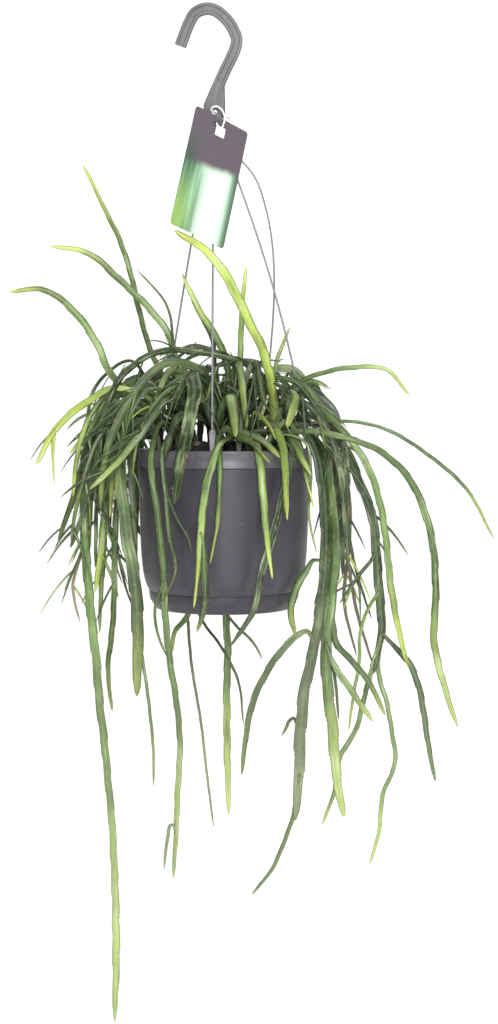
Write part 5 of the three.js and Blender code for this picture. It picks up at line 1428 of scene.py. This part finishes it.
def make_stems(material):
    plant = Plant()
    stretch, crown, shoot = make_stretch(), make_crown(), make_shoot()
    pull = drawer(61)
    number = 0
    for site in plant.sites:
        if not site["stems"]:
            continue
        foot = copy_of(crown)
        base = at_pot([*site["at"], site["top"] - STUB_DEEP])
        points = coords(foot)
        for k, point in enumerate(points):
            swell = 1 + 0.16 * noise.noise(Vector(point * 300 + base * 90))
            points[k] = point * (swell, swell, 1)
        set_coords(foot, points + base)
        clump = [foot]
        for stem in site["stems"]:
            number += 1
            clump.append(grow(stem, stretch, number))
            if stem["name"].startswith(SHOOTY):
                clump += side_shoots(stem, shoot, pull)
        whole = join(clump)
        pick(whole)
        bpy.ops.object.shade_smooth()
        stand_in(whole, site["name"], material)
    for master in (stretch, crown, shoot):
        bpy.data.objects.remove(master)


# Studio


def make_lights():
    for name, (place, (width, height), watts) in LIGHTS.items():
        lamp = bpy.data.lights.new(name, "AREA")
        lamp.energy = watts
        lamp.shape = "RECTANGLE"
        lamp.size = width
        lamp.size_y = height
        light = linked(bpy.data.objects.new(name, lamp))
        light.location = place
        light.rotation_euler = (LIGHT_AIM - Vector(place)).to_track_quat("-Z", "Y").to_euler()


def make_studio():
    """A pale floor that curves up into a wall behind the object, lit and faintly glowing."""
    floor = added("plane", FLOOR_SIZE, size=1, location=(0, 0.5, FLOOR_Z))
    floor.name = "studio_floor"
    shaping(floor)
    bpy.ops.mesh.select_all(action="DESELECT")
    mesh = bmesh.from_edit_mesh(floor.data)
    for edge in mesh.edges:
        edge.select_set(all(vertex.co.y > 3 for vertex in edge.verts))
    bmesh.update_edit_mesh(floor.data)
    bend = math.pi / 2 / BEND_STEPS
    for k in range(BEND_STEPS):
        angle = bend * (k + 0.5)
        extrude(0, bend * BEND_R * math.cos(angle), bend * BEND_R * math.sin(angle))
    extrude(0, 0, BACK_WALL_H)
    done()
    smooth(floor, 60)
    finish = Finish("studio_paper")
    apart = finish.node("ShaderNodeVectorMath", finish.where, operation="LENGTH", output="Value")
    finish.feed(finish.surface["Emission Color"], finish.mix(apart.rise(0.9, 2.0), "c4c4c4", "ffffff"))
    finish.surface["Emission Strength"].default_value = 0.68
    floor.data.materials.append(finish.look(finish.mix(finish.noise(3, 2), "f4f4f4", "f8f8f8"), 0.9))
    world = bpy.data.worlds.new("studio_air")
    world.use_nodes = True
    air = world.node_tree.nodes["Background"].inputs
    air["Color"].default_value = (1, 1, 1, 1)
    air["Strength"].default_value = 0.14
    bpy.context.scene.world = world
    make_lights()


def make_camera():
    camera = bpy.data.cameras.new("photo_view")
    camera.lens = 59.8
    camera.sensor_width = 36
    camera.shift_y = -0.1113
    view = linked(bpy.data.objects.new("photo_view", camera))
    view.location = (POT_AT[0] * MM + VIEW_X * MM, -VIEW_DISTANCE * MM, (POT_AT[2] + VIEW_Z) * MM)
    view.rotation_euler = (math.pi / 2, 0, 0)
    bpy.context.scene.camera = view


bpy.context.scene.view_settings.view_transform = "Standard"
make_camera()
make_studio()
# The last colour is the collar's lighter tone: partly dust, partly a painted highlight.
make_pot(moulded("pot_plastic", "302d34", "3d3a40", 0.38, "575459"))
make_saucer(moulded("saucer_plastic", "2d2a30", "343137", 0.4))
make_soil(soil_finish())
make_hook(moulded("hook_plastic", "2a292d", "605f63", 0.42))
strand_plastic = moulded("strand_plastic", "79777c", "8d8b90", 0.45)
for node in STRANDS:
    make_strand(node, strand_plastic)
make_tag(tag_finish())
make_tie(moulded("tie_plastic", "e4e4e2", "f2f2f0", 0.35))
make_stems(stem_finish())
